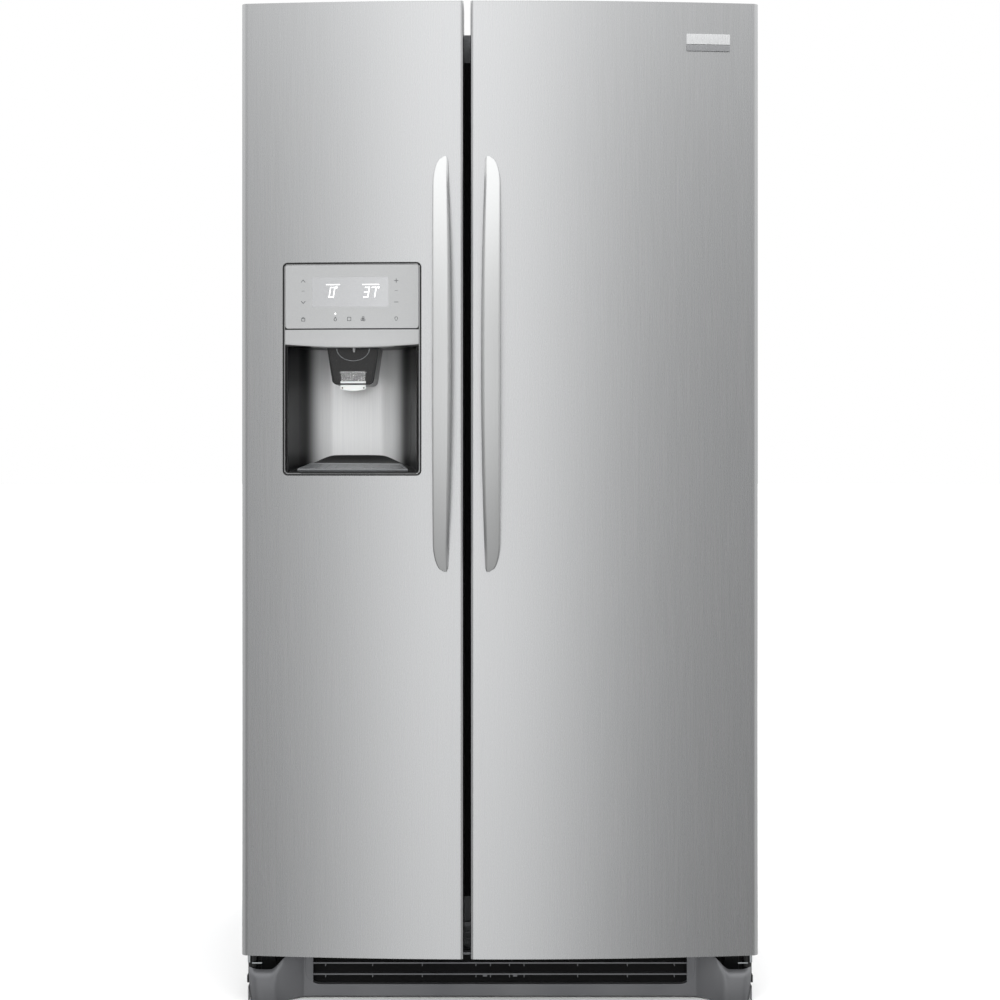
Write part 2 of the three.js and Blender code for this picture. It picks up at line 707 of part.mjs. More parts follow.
// A plate low in front of the case with the door's pin on it, and an upright that carries it.
function lowerHinge(side) {
  const x = side * PIN_X;
  const low = HINGE_ARM_LOW;
  const reach = (near, far) => (side < 0 ? [x + near, x + far] : [x - far, x - near]);
  const arm = box(reach(-10, 36), [PIN_Y - 10, FACE - 4], [low, low + 4]);
  const tab = box(reach(-10, -7), [PIN_Y - 10, FACE - 4], [low, low + 14]);
  const upright = box(reach(8, 36), [FACE - 8, FACE - 4], [low, 98]);
  const tongue = box(reach(16, 36), [FACE - 8, FACE + 15.7], [80, 84]);
  const pin = cylinder("z", PIN_R, 96 - low, [x, PIN_Y, (96 + low) / 2]);
  const collar = cylinder("z", 9, 81 - low, [x, PIN_Y, (81 + low) / 2], 12);
  return union(arm, tab, upright, tongue, pin, collar);
}

// Cap over the upper hinge, open below and towards the door.
function hingeCover(side) {
  const x = side * PIN_X;
  const span = side < 0 ? [x - 12, x + 66] : [x - 66, x + 12];
  const lid = box(span, [FACE + 12, FACE + 120], [CASE_TOP + GAP, DOOR_TOP + 6]);
  const room = box(
    [span[0] + 2, span[1] - 2],
    [FACE + 11, FACE + 118],
    [CASE_TOP - 1, DOOR_TOP + 4],
  );
  return lid.subtract(room);
}

// ---- Machine compartment ------------------------------------------------------------------
function compressor() {
  const profile = [
    [0, 0],
    [78, 0],
    [90, 14],
    [92, 60],
    [92, 96],
    [80, 130],
    [52, 150],
    [0, 156],
  ].map(([r, h]) => new THREE.Vector2(r, h));
  const shell = solid(new THREE.LatheGeometry(profile, 20).rotateX(Math.PI / 2));
  const feet = box([-110, 110], [-62, 62], [-14, 2]);
  const terminals = box([70, 108], [-30, 30], [40, 90]);
  return union(shell, feet, terminals);
}

const FIN = 3;

// A heat exchanger: a core of tubes, drawn as one slab, through a row of fins along X or Z.
function finBlock([x0, x1], [y0, y1], [z0, z1], fins, alongX) {
  const inset = (y1 - y0) * 0.35;
  const parts = [box([x0 + 2, x1 - 2], [y0 + inset, y1 - inset], [z0 + 2, z1 - 2])];
  for (let i = 0; i < fins; i++) {
    const t = i / (fins - 1);
    if (alongX) {
      const x = x0 + (x1 - x0 - FIN) * t;
      parts.push(box([x, x + FIN], [y0, y1], [z0, z1]));
    } else {
      const z = z0 + (z1 - z0 - FIN) * t;
      parts.push(box([x0, x1], [y0, y1], [z, z + FIN]));
    }
  }
  return union(...parts);
}

function fan(radius, depth) {
  const hub = cylinder("y", radius * 0.3, depth, [0, 0, 0], 16);
  const blades = [];
  for (let i = 0; i < 5; i++) {
    const blade = new THREE.BoxGeometry(radius * 0.42, 2, radius * 0.74);
    blade.rotateZ(0.45).translate(0, 0, radius * 0.6).rotateY((i * 2 * Math.PI) / 5);
    blades.push(solid(blade));
  }
  return union(hub, ...blades);
}

// ---- Freezer fittings ---------------------------------------------------------------------
const FREEZER_IN = [FREEZER_LEFT + SKIN + 2, FREEZER_RIGHT - SKIN - 2];
const FRIDGE_IN = [FRIDGE_LEFT + SKIN + 2, FRIDGE_RIGHT - SKIN - 2];
const EVAPORATOR_COVER_Y = FACE + 590;

function evaporatorCover() {
  const front = EVAPORATOR_COVER_Y;
  const across = [FREEZER_IN[0] + 50, FREEZER_IN[1] - 50];
  const panel = box(FREEZER_IN, [front, front + 3], [HUMP_TOP + 6, CAVITY_TOP - 6]);
  const vents = [380, 400, 1590, 1610].map((z) => box(across, [front - 3, front + 6], [z, z + 8]));
  return vents.reduce((made, vent) => made.subtract(vent), panel);
}

const BUCKET_X = [-388, -102];
const BUCKET_Y = [FACE + 112, FACE + 560];
const BUCKET_LOW = 1257.3;
const AUGER_AXIS = [DISPENSER_X, 0, BUCKET_LOW + 52];

function iceBucket() {
  const body = tub(BUCKET_X, BUCKET_Y, [BUCKET_LOW, 1430], 3);
  const outlet = box(
    [DISPENSER_X - 34, DISPENSER_X + 34],
    [BUCKET_Y[0] + 14, BUCKET_Y[0] + 84],
    [BUCKET_LOW - 5, BUCKET_LOW + 10],
  );
  return body.subtract(outlet);
}

// Wire screw that pushes ice forward, with a drive hub at the rear.
function auger() {
  const [start, end] = [BUCKET_Y[0] + 12, BUCKET_Y[1] - 12];
  const length = end - start;
  const turns = 4.5;
  const points = [];
  for (let i = 0; i <= 54; i++) {
    const t = i / 54;
    const angle = t * turns * 2 * Math.PI;
    points.push(
      new THREE.Vector3(34 * Math.cos(angle), start + 14 + (length - 36) * t, 34 * Math.sin(angle)),
    );
  }
  const path = new THREE.CatmullRomCurve3(points);
  const wire = new THREE.Shape().absarc(0, 0, 4, 0, 2 * Math.PI);
  const screw = new THREE.ExtrudeGeometry(wire, {
    steps: 72,
    curveSegments: 3,
    extrudePath: path,
    bevelEnabled: false,
  });
  const shaft = cylinder("y", 5, length, [0, (start + end) / 2, 0], 10);
  const spoke = (y, angle) => {
    const arm = new THREE.BoxGeometry(36, 5, 5).translate(17, 0, 0);
    return solid(arm.rotateY(-angle).translate(0, y, 0));
  };
  return union(
    solid(screw),
    shaft,
    spoke(points[1].y, (turns * 2 * Math.PI) / 54),
    spoke(points[53].y, (53 * turns * 2 * Math.PI) / 54),
  );
}

// Tray-shaped mould with its motor box in front, a wire arm that feels the ice, and a wall hanger.
function iceMaker() {
  const [left, right] = [-384, -150];
  const [front, rear] = [FACE + 180, FACE + 470];
  const [low, high] = [1480, 1560];
  const body = box([left, right], [front, rear], [low, high]);
  const mould = box([left + 8, right - 50], [front + 12, rear - 30], [low + 20, high + 1]);
  const motor = box([left, right], [front - 30, front + 1], [low - 10, high + 30]);
  const arm = box([right + 2, right + 6], [front - 10, rear - 40], [low - 18, low - 10]);
  const armPost = box([right - 1, right + 6], [front - 20, front - 5], [low - 18, low + 20]);
  const hanger = box([left - 2, left + 44], [rear - 30, rear + 10], [high - 10, high + 40]);
  return union(body.subtract(mould), motor, arm, armPost, hanger);
}

// A shelf plate with a raised trim round its edge.
function shelf([x0, x1], [y0, y1], trim) {
  const pane = box([x0 + 4, x1 - 4], [y0 + 4, y1 - 4], [0, 5]);
  const frame = box([x0, x1], [y0, y1], [-5, 9]).subtract(
    box([x0 + trim, x1 - trim], [y0 + trim, y1 - trim], [-6, 10]),
  );
  return union(pane, frame);
}

function drawer([x0, x1], [y0, y1], [z0, z1], wall) {
  const pull = box([x0 + 60, x1 - 60], [y0 - 12, y0 + 1], [z1 - 26, z1 - 20]);
  const lip = box([x0 + 60, x1 - 60], [y0 - 12, y0 - 8], [z1 - 34, z1 - 20]);
  return union(tub([x0, x1], [y0, y1], [z0, z1], wall), pull, lip);
}

const DAIRY_PIVOT = [0, FACE + 4, 1560];

// Clear lid of the dairy compartment; it swings up on pins at its upper back edge.
function dairyCover() {
  const [x0, x1] = [FRIDGE_DYKE[0] + DYKE_WALL + 5, FRIDGE_DYKE[1] - DYKE_WALL - 5];
  const top = box([x0, x1], [0, 60], [-1, 2]);
  const front = box([x0, x1], [57, 60], [-120, 2]);
  const pull = box([x0 + 110, x1 - 110], [59, 68], [-120, -112]);
  const pin = cylinder("x", 3, x1 - x0 + 6, [(x0 + x1) / 2, 0, 0], 10);
  return union(top, front, pull, pin);
}

function controlHousing() {
  const shell = box(FRIDGE_IN, [FACE + 120, FACE + 420], [1600, CAVITY_TOP - 4]);
  const lamp = box([FRIDGE_IN[0] + 60, FRIDGE_IN[1] - 60], [FACE + 150, FACE + 300], [1599, 1610]);
  return shell.subtract(lamp);
}

// Blank name plate, bent to the arc of the door.
function badge() {
  const half = 38.7;
  const x = 367;
  const outline = roundedRectangle([x - half, x + half], [1682, 1712], 1.5);
  const blank = plate(outline, doorFace(x) - 14, doorFace(x) + 6);
  const y = (at) => doorFace(at) - GAP;
  const limits = [x - half - 2, x, x + half + 2];
  const band = polygon([
    ...limits.map((at) => [at, y(at) - 2.5]),
    ...[...limits].reverse().map((at) => [at, y(at)]),
  ]);
  return blank.intersect(prism(band, 1680, 1714));
}

// ---- Assembly -----------------------------------------------------------------------------
const cabinet = newGroup(refrigerator);
add(cabinet, "case_wrapper", caseWrapper(), casePaint);
add(cabinet, "back_panel", backPanel(), zinc);
add(cabinet, "foam_insulation", insulation(), foam);
add(cabinet, "freezer_liner", liner(FREEZER_LEFT, FREEZER_RIGHT), whitePlastic);
add(cabinet, "fridge_liner", liner(FRIDGE_LEFT, FRIDGE_RIGHT), whitePlastic);
add(cabinet, "mullion_cover", mullionCover(), greyPlastic);
add(cabinet, "base_frame", baseFrame(), zinc);
add(cabinet, "kick_plate", kickPlate(), greyPlastic);
add(cabinet, "rear_cover", rearCover(), blackSteel);
add(cabinet, "cord_gland", cordGland(), blackPlastic, GLAND);

for (const [side, word] of [
  [-1, "left"],
  [1, "right"],
]) {
  add(cabinet, `upper_hinge_${word}`, upperHinge(side), zinc);
  add(cabinet, `lower_hinge_${word}`, lowerHinge(side), zinc);
  add(cabinet, `hinge_cover_${word}`, hingeCover(side), greyPlastic);
  add(cabinet, `levelling_leg_${word}`, levellingLeg(), blackPlastic, [side * LEG_X, LEG_Y, 0]);
  add(cabinet, `rear_roller_${word}`, roller(), blackPlastic, [side * WHEEL_X, WHEEL_Y, WHEEL_R]);
}

const machine = newGroup(cabinet, [0, 0, CASE_BOTTOM]);
add(machine, "compressor", compressor(), blackSteel, [-250, FACE + 605, 15]);
const condenser = finBlock([40, 330], [FACE + 530, FACE + 600], [3, 170], 18, true);
const drainPan = tub([-130, 20], [FACE + 520, FACE + 680], [3, 40], 2);
add(machine, "condenser", condenser, blackSteel);
add(machine, "drain_pan", drainPan, greyPlastic);
add(machine, "condenser_fan", fan(72, 26), blackPlastic, [185, FACE + 640, 90]);

const freezer = newGroup(cabinet);
add(freezer, "evaporator_cover", evaporatorCover(), whitePlastic);
const evaporator = finBlock([-370, -115], [FACE + 600, FACE + 636], [520, 880], 20, false);
add(freezer, "evaporator", evaporator, castAluminium);
add(freezer, "evaporator_fan", fan(52, 20), whitePlastic, [-242, FACE + 617, 1150]);
add(freezer, "ice_maker", iceMaker(), whitePlastic);
add(freezer, "ice_bucket", iceBucket(), clearPlastic);
add(freezer, "ice_auger", auger(), zinc, AUGER_AXIS);
const bucketShelf = shelf(FREEZER_IN, [FACE + 225, FACE + 585], 12);
const lowShelf = shelf(FREEZER_IN, [FACE + 95, FACE + 585], 12);
add(freezer, "freezer_shelf_upper", bucketShelf, glass, [0, 0, BUCKET_LOW - 9.3]);
add(freezer, "freezer_shelf_lower", lowShelf, glass, [0, 0, 820]);
const basketX = [FREEZER_IN[0] + 6, FREEZER_IN[1] - 6];
const basket = drawer(basketX, [FACE + 160, FACE + 470], [186, 470], 3);
add(freezer, "freezer_basket", basket, whitePlastic);

const fridge = newGroup(cabinet);
for (const [name, front, z] of [
  ["glass_shelf_upper", FACE + 120, 1180],
  ["glass_shelf_middle", FACE + 120, 850],
  ["crisper_cover", FACE + 150, 536],
]) {
  add(fridge, name, shelf(FRIDGE_IN, [front, FACE + 600], 14), glass, [0, 0, z]);
}
const crisperX = [FRIDGE_IN[0] + 8, FRIDGE_IN[1] - 8];
for (const [name, rear, z] of [
  ["crisper_upper", FACE + 570, [354, 522]],
  ["crisper_lower", HUMP_FRONT - 14, [178, 344]],
]) {
  add(fridge, name, drawer(crisperX, [FACE + 160, rear], z, 3), clearPlastic);
}
add(fridge, "control_housing", controlHousing(), whitePlastic);

const OUTER_CORNER = 9;
const INNER_CORNER = 5;
const freezerDoor = newGroup(refrigerator);
const pocketFront = plate(dispenserHole(0), DOOR_EDGE - DOOR_BULGE - 30, RECESS_BACK + 3 + GAP);
const dispenserBlock = box(
  [FREEZER_DYKE[0] + 10, FREEZER_DYKE[1] - 10],
  [DOOR_BACK - 1, DISPENSER_REACH],
  [DISPENSER_LOW - 34, DISPENSER_HIGH + 24],
);
add(
  freezerDoor,
  "freezer_door_skin",
  doorSkin(FREEZER_DOOR, OUTER_CORNER, INNER_CORNER).subtract(pocketFront),
  stainless,
);
add(
  freezerDoor,
  "freezer_door_liner",
  doorBody(FREEZER_DOOR, FREEZER_DYKE, OUTER_CORNER, INNER_CORNER, -PIN_X)
    .add(dispenserBlock)
    .subtract(pocketFront),
  whitePlastic,
);
const gasketFace = FACE - GAP;
add(freezerDoor, "freezer_door_gasket", gasket([-437, -70], gasketFace), rubber);
add(freezerDoor, "freezer_handle", handleWithFeet(-117.4, 1), handleSteel);
add(freezerDoor, "dispenser_housing", dispenserHousing(), silverPlastic);
add(freezerDoor, "control_panel", controlPanel(), silverPlastic);
add(freezerDoor, "chute_hood", chuteHood(), blackPlastic);
add(freezerDoor, "dispenser_paddle", paddle(), clearPlastic, PADDLE_PIVOT);
add(freezerDoor, "ice_flap", iceFlap(), blackPlastic, FLAP_PIVOT);
add(freezerDoor, "drip_tray", dripTray(), greyPlastic);
const freezerBin = [FREEZER_DYKE[0] + DYKE_WALL + 3, FREEZER_DYKE[1] - DYKE_WALL - 3];
add(freezerDoor, "freezer_bin_upper", doorBin(freezerBin, FACE + 68, 1400, 1500), clearPlastic);
add(freezerDoor, "freezer_bin_lower", doorBin(freezerBin, FACE + 68, 560, 680), clearPlastic);

const fridgeDoor = newGroup(refrigerator);
add(fridgeDoor, "fridge_door_skin", doorSkin(FRIDGE_DOOR, INNER_CORNER, OUTER_CORNER), stainless);
add(
  fridgeDoor,
  "fridge_door_liner",
  doorBody(FRIDGE_DOOR, FRIDGE_DYKE, INNER_CORNER, OUTER_CORNER, PIN_X),
  whitePlastic,
);
add(fridgeDoor, "fridge_door_gasket", gasket([-46, 437], gasketFace), rubber);
add(fridgeDoor, "fridge_handle", handleWithFeet(0.4, -1), handleSteel);
add(fridgeDoor, "badge", badge(), silverPlastic);
const fridgeBin = [FRIDGE_DYKE[0] + DYKE_WALL + 3, FRIDGE_DYKE[1] - DYKE_WALL - 3];
add(fridgeDoor, "fridge_bin_lower", doorBin(fridgeBin, FACE + 95, 580, 720), clearPlastic);
add(fridgeDoor, "fridge_bin_upper", doorBin(fridgeBin, FACE + 95, 930, 1060), clearPlastic);
const dairyBin = tub(fridgeBin, [DOOR_BACK + GAP, FACE + 58], [1436, 1500], 3);
add(fridgeDoor, "dairy_bin", dairyBin, clearPlastic);
add(fridgeDoor, "dairy_cover", dairyCover(), clearPlastic, DAIRY_PIVOT);

export default refrigerator;
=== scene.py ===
"""A side by side refrigerator in brushed stainless steel, with bowed handles and an ice and water
dispenser in its freezer door. Everything is in metres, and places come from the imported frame."""

import json
import math

import bmesh
import bpy
from mathutils import Matrix, Vector

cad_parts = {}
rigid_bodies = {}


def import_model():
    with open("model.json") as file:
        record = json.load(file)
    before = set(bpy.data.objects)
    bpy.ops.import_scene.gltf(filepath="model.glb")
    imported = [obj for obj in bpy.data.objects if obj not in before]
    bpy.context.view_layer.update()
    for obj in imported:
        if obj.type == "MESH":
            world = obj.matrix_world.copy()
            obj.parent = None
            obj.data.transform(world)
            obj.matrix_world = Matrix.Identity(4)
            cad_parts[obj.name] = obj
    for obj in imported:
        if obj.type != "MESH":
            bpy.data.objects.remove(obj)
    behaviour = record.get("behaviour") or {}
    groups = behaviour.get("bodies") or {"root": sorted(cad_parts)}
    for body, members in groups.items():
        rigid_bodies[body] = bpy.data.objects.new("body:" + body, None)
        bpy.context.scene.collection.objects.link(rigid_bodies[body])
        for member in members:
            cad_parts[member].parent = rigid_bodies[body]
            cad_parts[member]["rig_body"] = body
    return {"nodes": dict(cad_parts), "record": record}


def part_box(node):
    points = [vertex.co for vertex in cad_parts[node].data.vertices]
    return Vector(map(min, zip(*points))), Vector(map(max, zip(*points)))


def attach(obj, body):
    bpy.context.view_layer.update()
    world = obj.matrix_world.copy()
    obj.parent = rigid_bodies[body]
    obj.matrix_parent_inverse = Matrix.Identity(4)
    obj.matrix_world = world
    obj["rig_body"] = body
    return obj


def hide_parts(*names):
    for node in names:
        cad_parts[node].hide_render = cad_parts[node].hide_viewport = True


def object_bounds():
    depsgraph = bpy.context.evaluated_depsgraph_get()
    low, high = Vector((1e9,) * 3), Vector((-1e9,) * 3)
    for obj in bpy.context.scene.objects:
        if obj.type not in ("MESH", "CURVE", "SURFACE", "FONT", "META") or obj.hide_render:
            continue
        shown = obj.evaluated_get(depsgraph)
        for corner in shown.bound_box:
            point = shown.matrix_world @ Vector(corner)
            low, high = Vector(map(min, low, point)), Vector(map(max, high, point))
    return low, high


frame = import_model()
cad_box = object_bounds()
MM = 0.001


# ---- Materials ----------------------------------------------------------------------------------
def colour(code):
    """The linear colour of an sRGB hex code."""
    parts = [int(code[i : i + 2], 16) / 255 for i in (1, 3, 5)]
    bend = [p / 12.92 if p <= 0.04045 else ((p + 0.055) / 1.055) ** 2.4 for p in parts]
    return (*bend, 1.0)


def put(tree, kind, settings=None, inputs=None):
    """Adds a node, sets its own settings, and sets or links its inputs by name or number."""
    made = tree.nodes.new(kind)
    for key, value in (settings or {}).items():
        setattr(made, key, value)
    for key, value in (inputs or {}).items():
        if isinstance(value, bpy.types.NodeSocket):
            tree.links.new(value, made.inputs[key])
        else:
            made.inputs[key].default_value = value
    return made


def start_material(name, base, metallic=0.0, roughness=0.4, **more):
    """A Principled surface with its constants set on the shader's own sockets."""
    mat = bpy.data.materials.new(name)
    mat.use_nodes = True
    tree = mat.node_tree
    shader = tree.nodes["Principled BSDF"]
    shader.inputs["Base Color"].default_value = colour(base)
    shader.inputs["Metallic"].default_value = metallic
    shader.inputs["Roughness"].default_value = roughness
    for key, value in more.items():
        shader.inputs[key.replace("_", " ")].default_value = value
    return mat, tree, shader


def drive(shader, name, value):
    """Links a node's output to one of the shader's inputs."""
    shader.id_data.links.new(value, shader.inputs[name])


def grain(tree, scale, size=1.0, detail=3.0, turn=(0, 0, 0)):
    """Noise on object coordinates; scale is in cycles per metre along X, Y and Z."""
    place = put(tree, "ShaderNodeTexCoord").outputs["Object"]
    inputs = {"Vector": place, "Rotation": turn, "Scale": scale}
    mapped = put(tree, "ShaderNodeMapping", inputs=inputs).outputs["Vector"]
    inputs = {"Vector": mapped, "Scale": size, "Detail": detail}
    return put(tree, "ShaderNodeTexNoise", inputs=inputs).outputs["Fac"]


def spread(tree, factor, low, high):
    """Maps noise, which mostly lies between 0.3 and 0.7, to low and high."""
    inputs = {"Value": factor, "From Min": 0.3, "From Max": 0.7, "To Min": low, "To Max": high}
    return put(tree, "ShaderNodeMapRange", inputs=inputs).outputs["Result"]


def tint(tree, factor, first, second):
    """A colour between two hex codes."""
    inputs = {0: factor, 6: colour(first), 7: colour(second)}
    return put(tree, "ShaderNodeMix", {"data_type": "RGBA"}, inputs).outputs[2]


def bump(tree, shader, height, depth, strength=1.0):
    """Bump of a real depth in metres."""
    inputs = {"Height": height, "Distance": depth, "Strength": strength}
    drive(shader, "Normal", put(tree, "ShaderNodeBump", inputs=inputs).outputs["Normal"])


def brushed_metal(name, base, light, lines, roughness, depth):
    """Steel or aluminium brushed along Z; lines is the number of grains per metre across it."""
    mat, tree, shader = start_material(name, base, 1.0, roughness)
    streaks = grain(tree, (lines, lines, lines / 90), detail=4.0)
    cloud = grain(tree, (2.5, 2.5, 1.2), detail=2.0)
    mixed = put(tree, "ShaderNodeMix", inputs={0: 0.35, 2: streaks, 3: cloud}).outputs[0]
    drive(shader, "Base Color", tint(tree, spread(tree, mixed, 0, 1), base, light))
    rough = spread(tree, streaks, roughness - 0.009, roughness + 0.012)
    drive(shader, "Roughness", rough)
    bump(tree, shader, streaks, depth)
    return mat


def stainless_brushed():
    """Stainless sheet, brushed along its length: a soft neutral sheen with faint upright grain. The
    real grain is under 0.3 mm wide, so it is drawn about 1.5 mm wide, to show."""
    return brushed_metal("stainless_steel_brushed", "#c4c5c6", "#c8c9ca", 700, 0.27, 0.0000013)


def handle_satin():
    """Satin lacquered metal bar, a tone lighter than the doors and with a softer highlight."""
    name = "stainless_steel_satin_lacquered"
    return brushed_metal(name, "#cccdcd", "#d2d3d3", 900, 0.33, 0.000001)


def silver_lacquer():
    """ABS sprayed with silver lacquer: fine metal flake under a thin clear coat."""
    mat, tree, shader = start_material(
        "abs_silver_lacquered", "#b9babb", 0.55, 0.36, Coat_Weight=0.1, Coat_Roughness=0.25
    )
    flake = grain(tree, (1800, 1800, 1800), detail=1.0)
    drive(shader, "Base Color", tint(tree, spread(tree, flake, 0, 1), "#b1b2b3", "#bfc0c0"))
    drive(shader, "Roughness", spread(tree, flake, 0.32, 0.42))
    return mat


def recess_silver():
    """The silver lining of the dispenser: ABS with a brushed silver film, upright grain."""
    return brushed_metal("abs_brushed_silver_film", "#a9aaab", "#b0b1b1", 800, 0.36, 0.000003)


def moulded(name, base, dark, roughness, grit, depth, **more):
    """Injection moulded plastic: an even colour, and a spark eroded texture of a given grit."""
    mat, tree, shader = start_material(name, base, 0.0, roughness, **more)
    cloud = grain(tree, (6, 6, 6), detail=2.0)
    drive(shader, "Base Color", tint(tree, spread(tree, cloud, 0, 1), dark, base))
    skin = grain(tree, (1 / grit, 1 / grit, 1 / grit), detail=2.0)
    drive(shader, "Roughness", spread(tree, skin, roughness - 0.04, roughness + 0.06))
    bump(tree, shader, skin, depth)
    return mat


def clear_polystyrene():
    """Clear moulded polystyrene bins: thin walls, faintly blue, glossy with light scuffs."""
    mat, tree, shader = start_material(
        "polystyrene_clear", "#fafbfb", 0.0, 0.1, Transmission_Weight=0.92, IOR=1.45
    )
    scuff = grain(tree, (60, 60, 60), detail=5.0)
    drive(shader, "Roughness", spread(tree, scuff, 0.06, 0.2))
    return mat


def tempered_glass():
    """Tempered soda lime shelf glass: clear, faintly green, smooth, with a slight surface wave."""
    mat, tree, shader = start_material(
        "glass_tempered", "#e9f5f1", 0.0, 0.03, Transmission_Weight=1.0, IOR=1.5
    )
    haze = grain(tree, (120, 120, 120), detail=3.0)
    drive(shader, "Roughness", spread(tree, haze, 0.02, 0.05))
    return mat


def case_enamel():
    """Pre-coated steel of the case: dark grey textured enamel with a fine leathery stipple."""
    mat, tree, shader = start_material("steel_textured_enamel", "#77797b", 0.0, 0.48)
    stipple = grain(tree, (420, 420, 420), detail=3.0)
    shade = tint(tree, spread(tree, stipple, 0, 1), "#6d6f71", "#7c7e80")
    drive(shader, "Base Color", shade)
    drive(shader, "Roughness", spread(tree, stipple, 0.4, 0.55))
    bump(tree, shader, stipple, 0.00025)
    return mat


def zinc_plate():
    """Zinc plated pressed steel: a cool grey with the patchy spangle of the coating."""
    mat, tree, shader = start_material("steel_zinc_plated", "#b9bdc0", 1.0, 0.34)
    place = put(tree, "ShaderNodeTexCoord").outputs["Object"]
    inputs = {"Vector": place, "Scale": 160.0}
    spangle = put(tree, "ShaderNodeTexVoronoi", inputs=inputs).outputs["Color"]
    value = put(tree, "ShaderNodeSeparateColor", inputs={"Color": spangle}).outputs[0]
    drive(shader, "Base Color", tint(tree, value, "#b3b7ba", "#bfc3c5"))
    drive(shader, "Roughness", spread(tree, value, 0.33, 0.4))
    return mat


def black_enamel():
    """Black baked enamel over pressed steel: satin, with a trace of orange peel."""
    mat, tree, shader = start_material("steel_black_enamel", "#1b1c1e", 0.0, 0.34, Coat_Weight=0.2)
    peel = grain(tree, (160, 160, 160), detail=2.0)
    drive(shader, "Roughness", spread(tree, peel, 0.3, 0.42))
    bump(tree, shader, peel, 0.00012)
    return mat


def black_for_painted_shade():
    """Matt black that stands in for shade: painted shade behind the toe grille, under the doors and
    in the narrow gap between them.
    """
    return moulded("matt_black_painted_shade", "#0b0b0c", "#080809", 0.85, 0.0015, 0.00005)


def badge_metal(name, base):
    """Anodised aluminium foil of the name plate, finely satin."""
    mat, tree, shader = start_material(name, base, 0.8, 0.3)
    drive(shader, "Roughness", spread(tree, grain(tree, (1200, 1200, 60)), 0.24, 0.36))
    return mat


def tray_grey():
    """Mid grey moulded plastic of the lift-out tray."""
    return moulded("abs_mid_grey", "#8b8d8f", "#828486", 0.38, 0.0012, 0.00002, Metallic=0.4)


def bare_aluminium():
    """Mill finished aluminium fins: light, slightly streaked."""
    return brushed_metal("aluminium_mill_finish", "#b7babb", "#c6c8c9", 500, 0.38, 0.00002)


def copper_tube():
    """Drawn copper refrigerant tube, dulled by handling."""
    mat, tree, shader = start_material("copper_drawn", "#b4714e", 1.0, 0.3)
    cloud = grain(tree, (40, 40, 40), detail=3.0)
    drive(shader, "Base Color", tint(tree, spread(tree, cloud, 0, 1), "#9a5a3c", "#c4825d"))
    drive(shader, "Roughness", spread(tree, cloud, 0.22, 0.42))
    return mat


def seal_vinyl():
    """Soft grey vinyl of the magnetic gasket."""
    return moulded("vinyl_soft_grey", "#4a4b4d", "#3f4042", 0.62, 0.0012, 0.00005)


def foam_skin():
    """Rigid polyurethane foam with its cellular skin."""
    return moulded("polyurethane_foam", "#dfd3a4", "#cdbf8d", 0.85, 0.003, 0.0006)


def recess_shade():
    """One silver film moulding; towards both sides its colour fades to near black and its metal
    sheen
    goes: painted shade, for the dark that its side walls reflect."""
    mat, tree, shader = start_material("abs_silver_film_painted_shade_sides", "#d6d7d8", 0.4, 0.36)
    place = put(tree, "ShaderNodeTexCoord").outputs["Object"]
    inputs = {"Vector": place, 1: (-DISPENSER_MIDDLE, 0, 0)}
    centred = put(tree, "ShaderNodeVectorMath", {"operation": "ADD"}, inputs).outputs["Vector"]
    across = put(tree, "ShaderNodeSeparateXYZ", inputs={"Vector": centred}).outputs["X"]
    side = put(tree, "ShaderNodeMath", {"operation": "ABSOLUTE"}, {0: across}).outputs[0]
    inputs = {"Value": side, "From Min": 0.062, "From Max": 0.094}
    settings = {"interpolation_type": "SMOOTHERSTEP"}
    fade = put(tree, "ShaderNodeMapRange", settings, inputs).outputs["Result"]
    streaks = grain(tree, (800, 800, 8), detail=4.0)
    film = tint(tree, spread(tree, streaks, 0, 1), "#d2d3d4", "#dadbdb")
    # painted shade: near black mixed into the silver film towards both sides, and the metallic
    # taken to zero there
    inputs = {0: fade, 6: film, 7: colour("#0d0d0e")}
    shade = put(tree, "ShaderNodeMix", {"data_type": "RGBA"}, inputs).outputs[2]
    drive(shader, "Base Color", shade)
    inputs = {"Value": fade, "To Min": 0.4, "To Max": 0.0}
    metal = put(tree, "ShaderNodeMapRange", inputs=inputs).outputs["Result"]
    drive(shader, "Metallic", metal)
    return mat


def milky_plastic():
    """Milky polypropylene of the paddle's lip: translucent, softly glossy."""
    finish = (0.35, 0.002, 0.00001)
    return moulded("polypropylene_milky", "#cdcdcc", "#c3c3c2", *finish, Subsurface_Weight=0.1)


def lamp_diffuser():
    """Opal acrylic in front of the lamps, softly lit."""
    mat, tree, shader = start_material("acrylic_opal", "#f6f6f2", 0.0, 0.4)
    shader.inputs["Emission Color"].default_value = colour("#fff6e6")
    shader.inputs["Emission Strength"].default_value = 0.6
    return mat


def display_window():
    """Smoked lens moulded flush in the silver panel: a shade darker than the lacquer round it."""
    mat, tree, shader = start_material(
        "polycarbonate_silver_lens", "#b9babc", 0.4, 0.22, Coat_Weight=0.6, Coat_Roughness=0.08
    )
    flake = grain(tree, (1500, 1500, 1500), detail=1.0)
    drive(shader, "Base Color", tint(tree, spread(tree, flake, 0, 1), "#b3b4b6", "#bfc0c1"))
    return mat


def lit_mark():
    """White figures of the display, lit from behind."""
    mat, tree, shader = start_material("display_segment_white", "#ffffff", 0.0, 0.5)
    shader.inputs["Emission Color"].default_value = colour("#ffffff")
    shader.inputs["Emission Strength"].default_value = 0.9
    return mat


def ink_mark():
    """Grey pad printing of the touch symbols."""
    return moulded("ink_pad_printed_grey", "#4a4c4e", "#424446", 0.5, 0.0008, 0.00001)


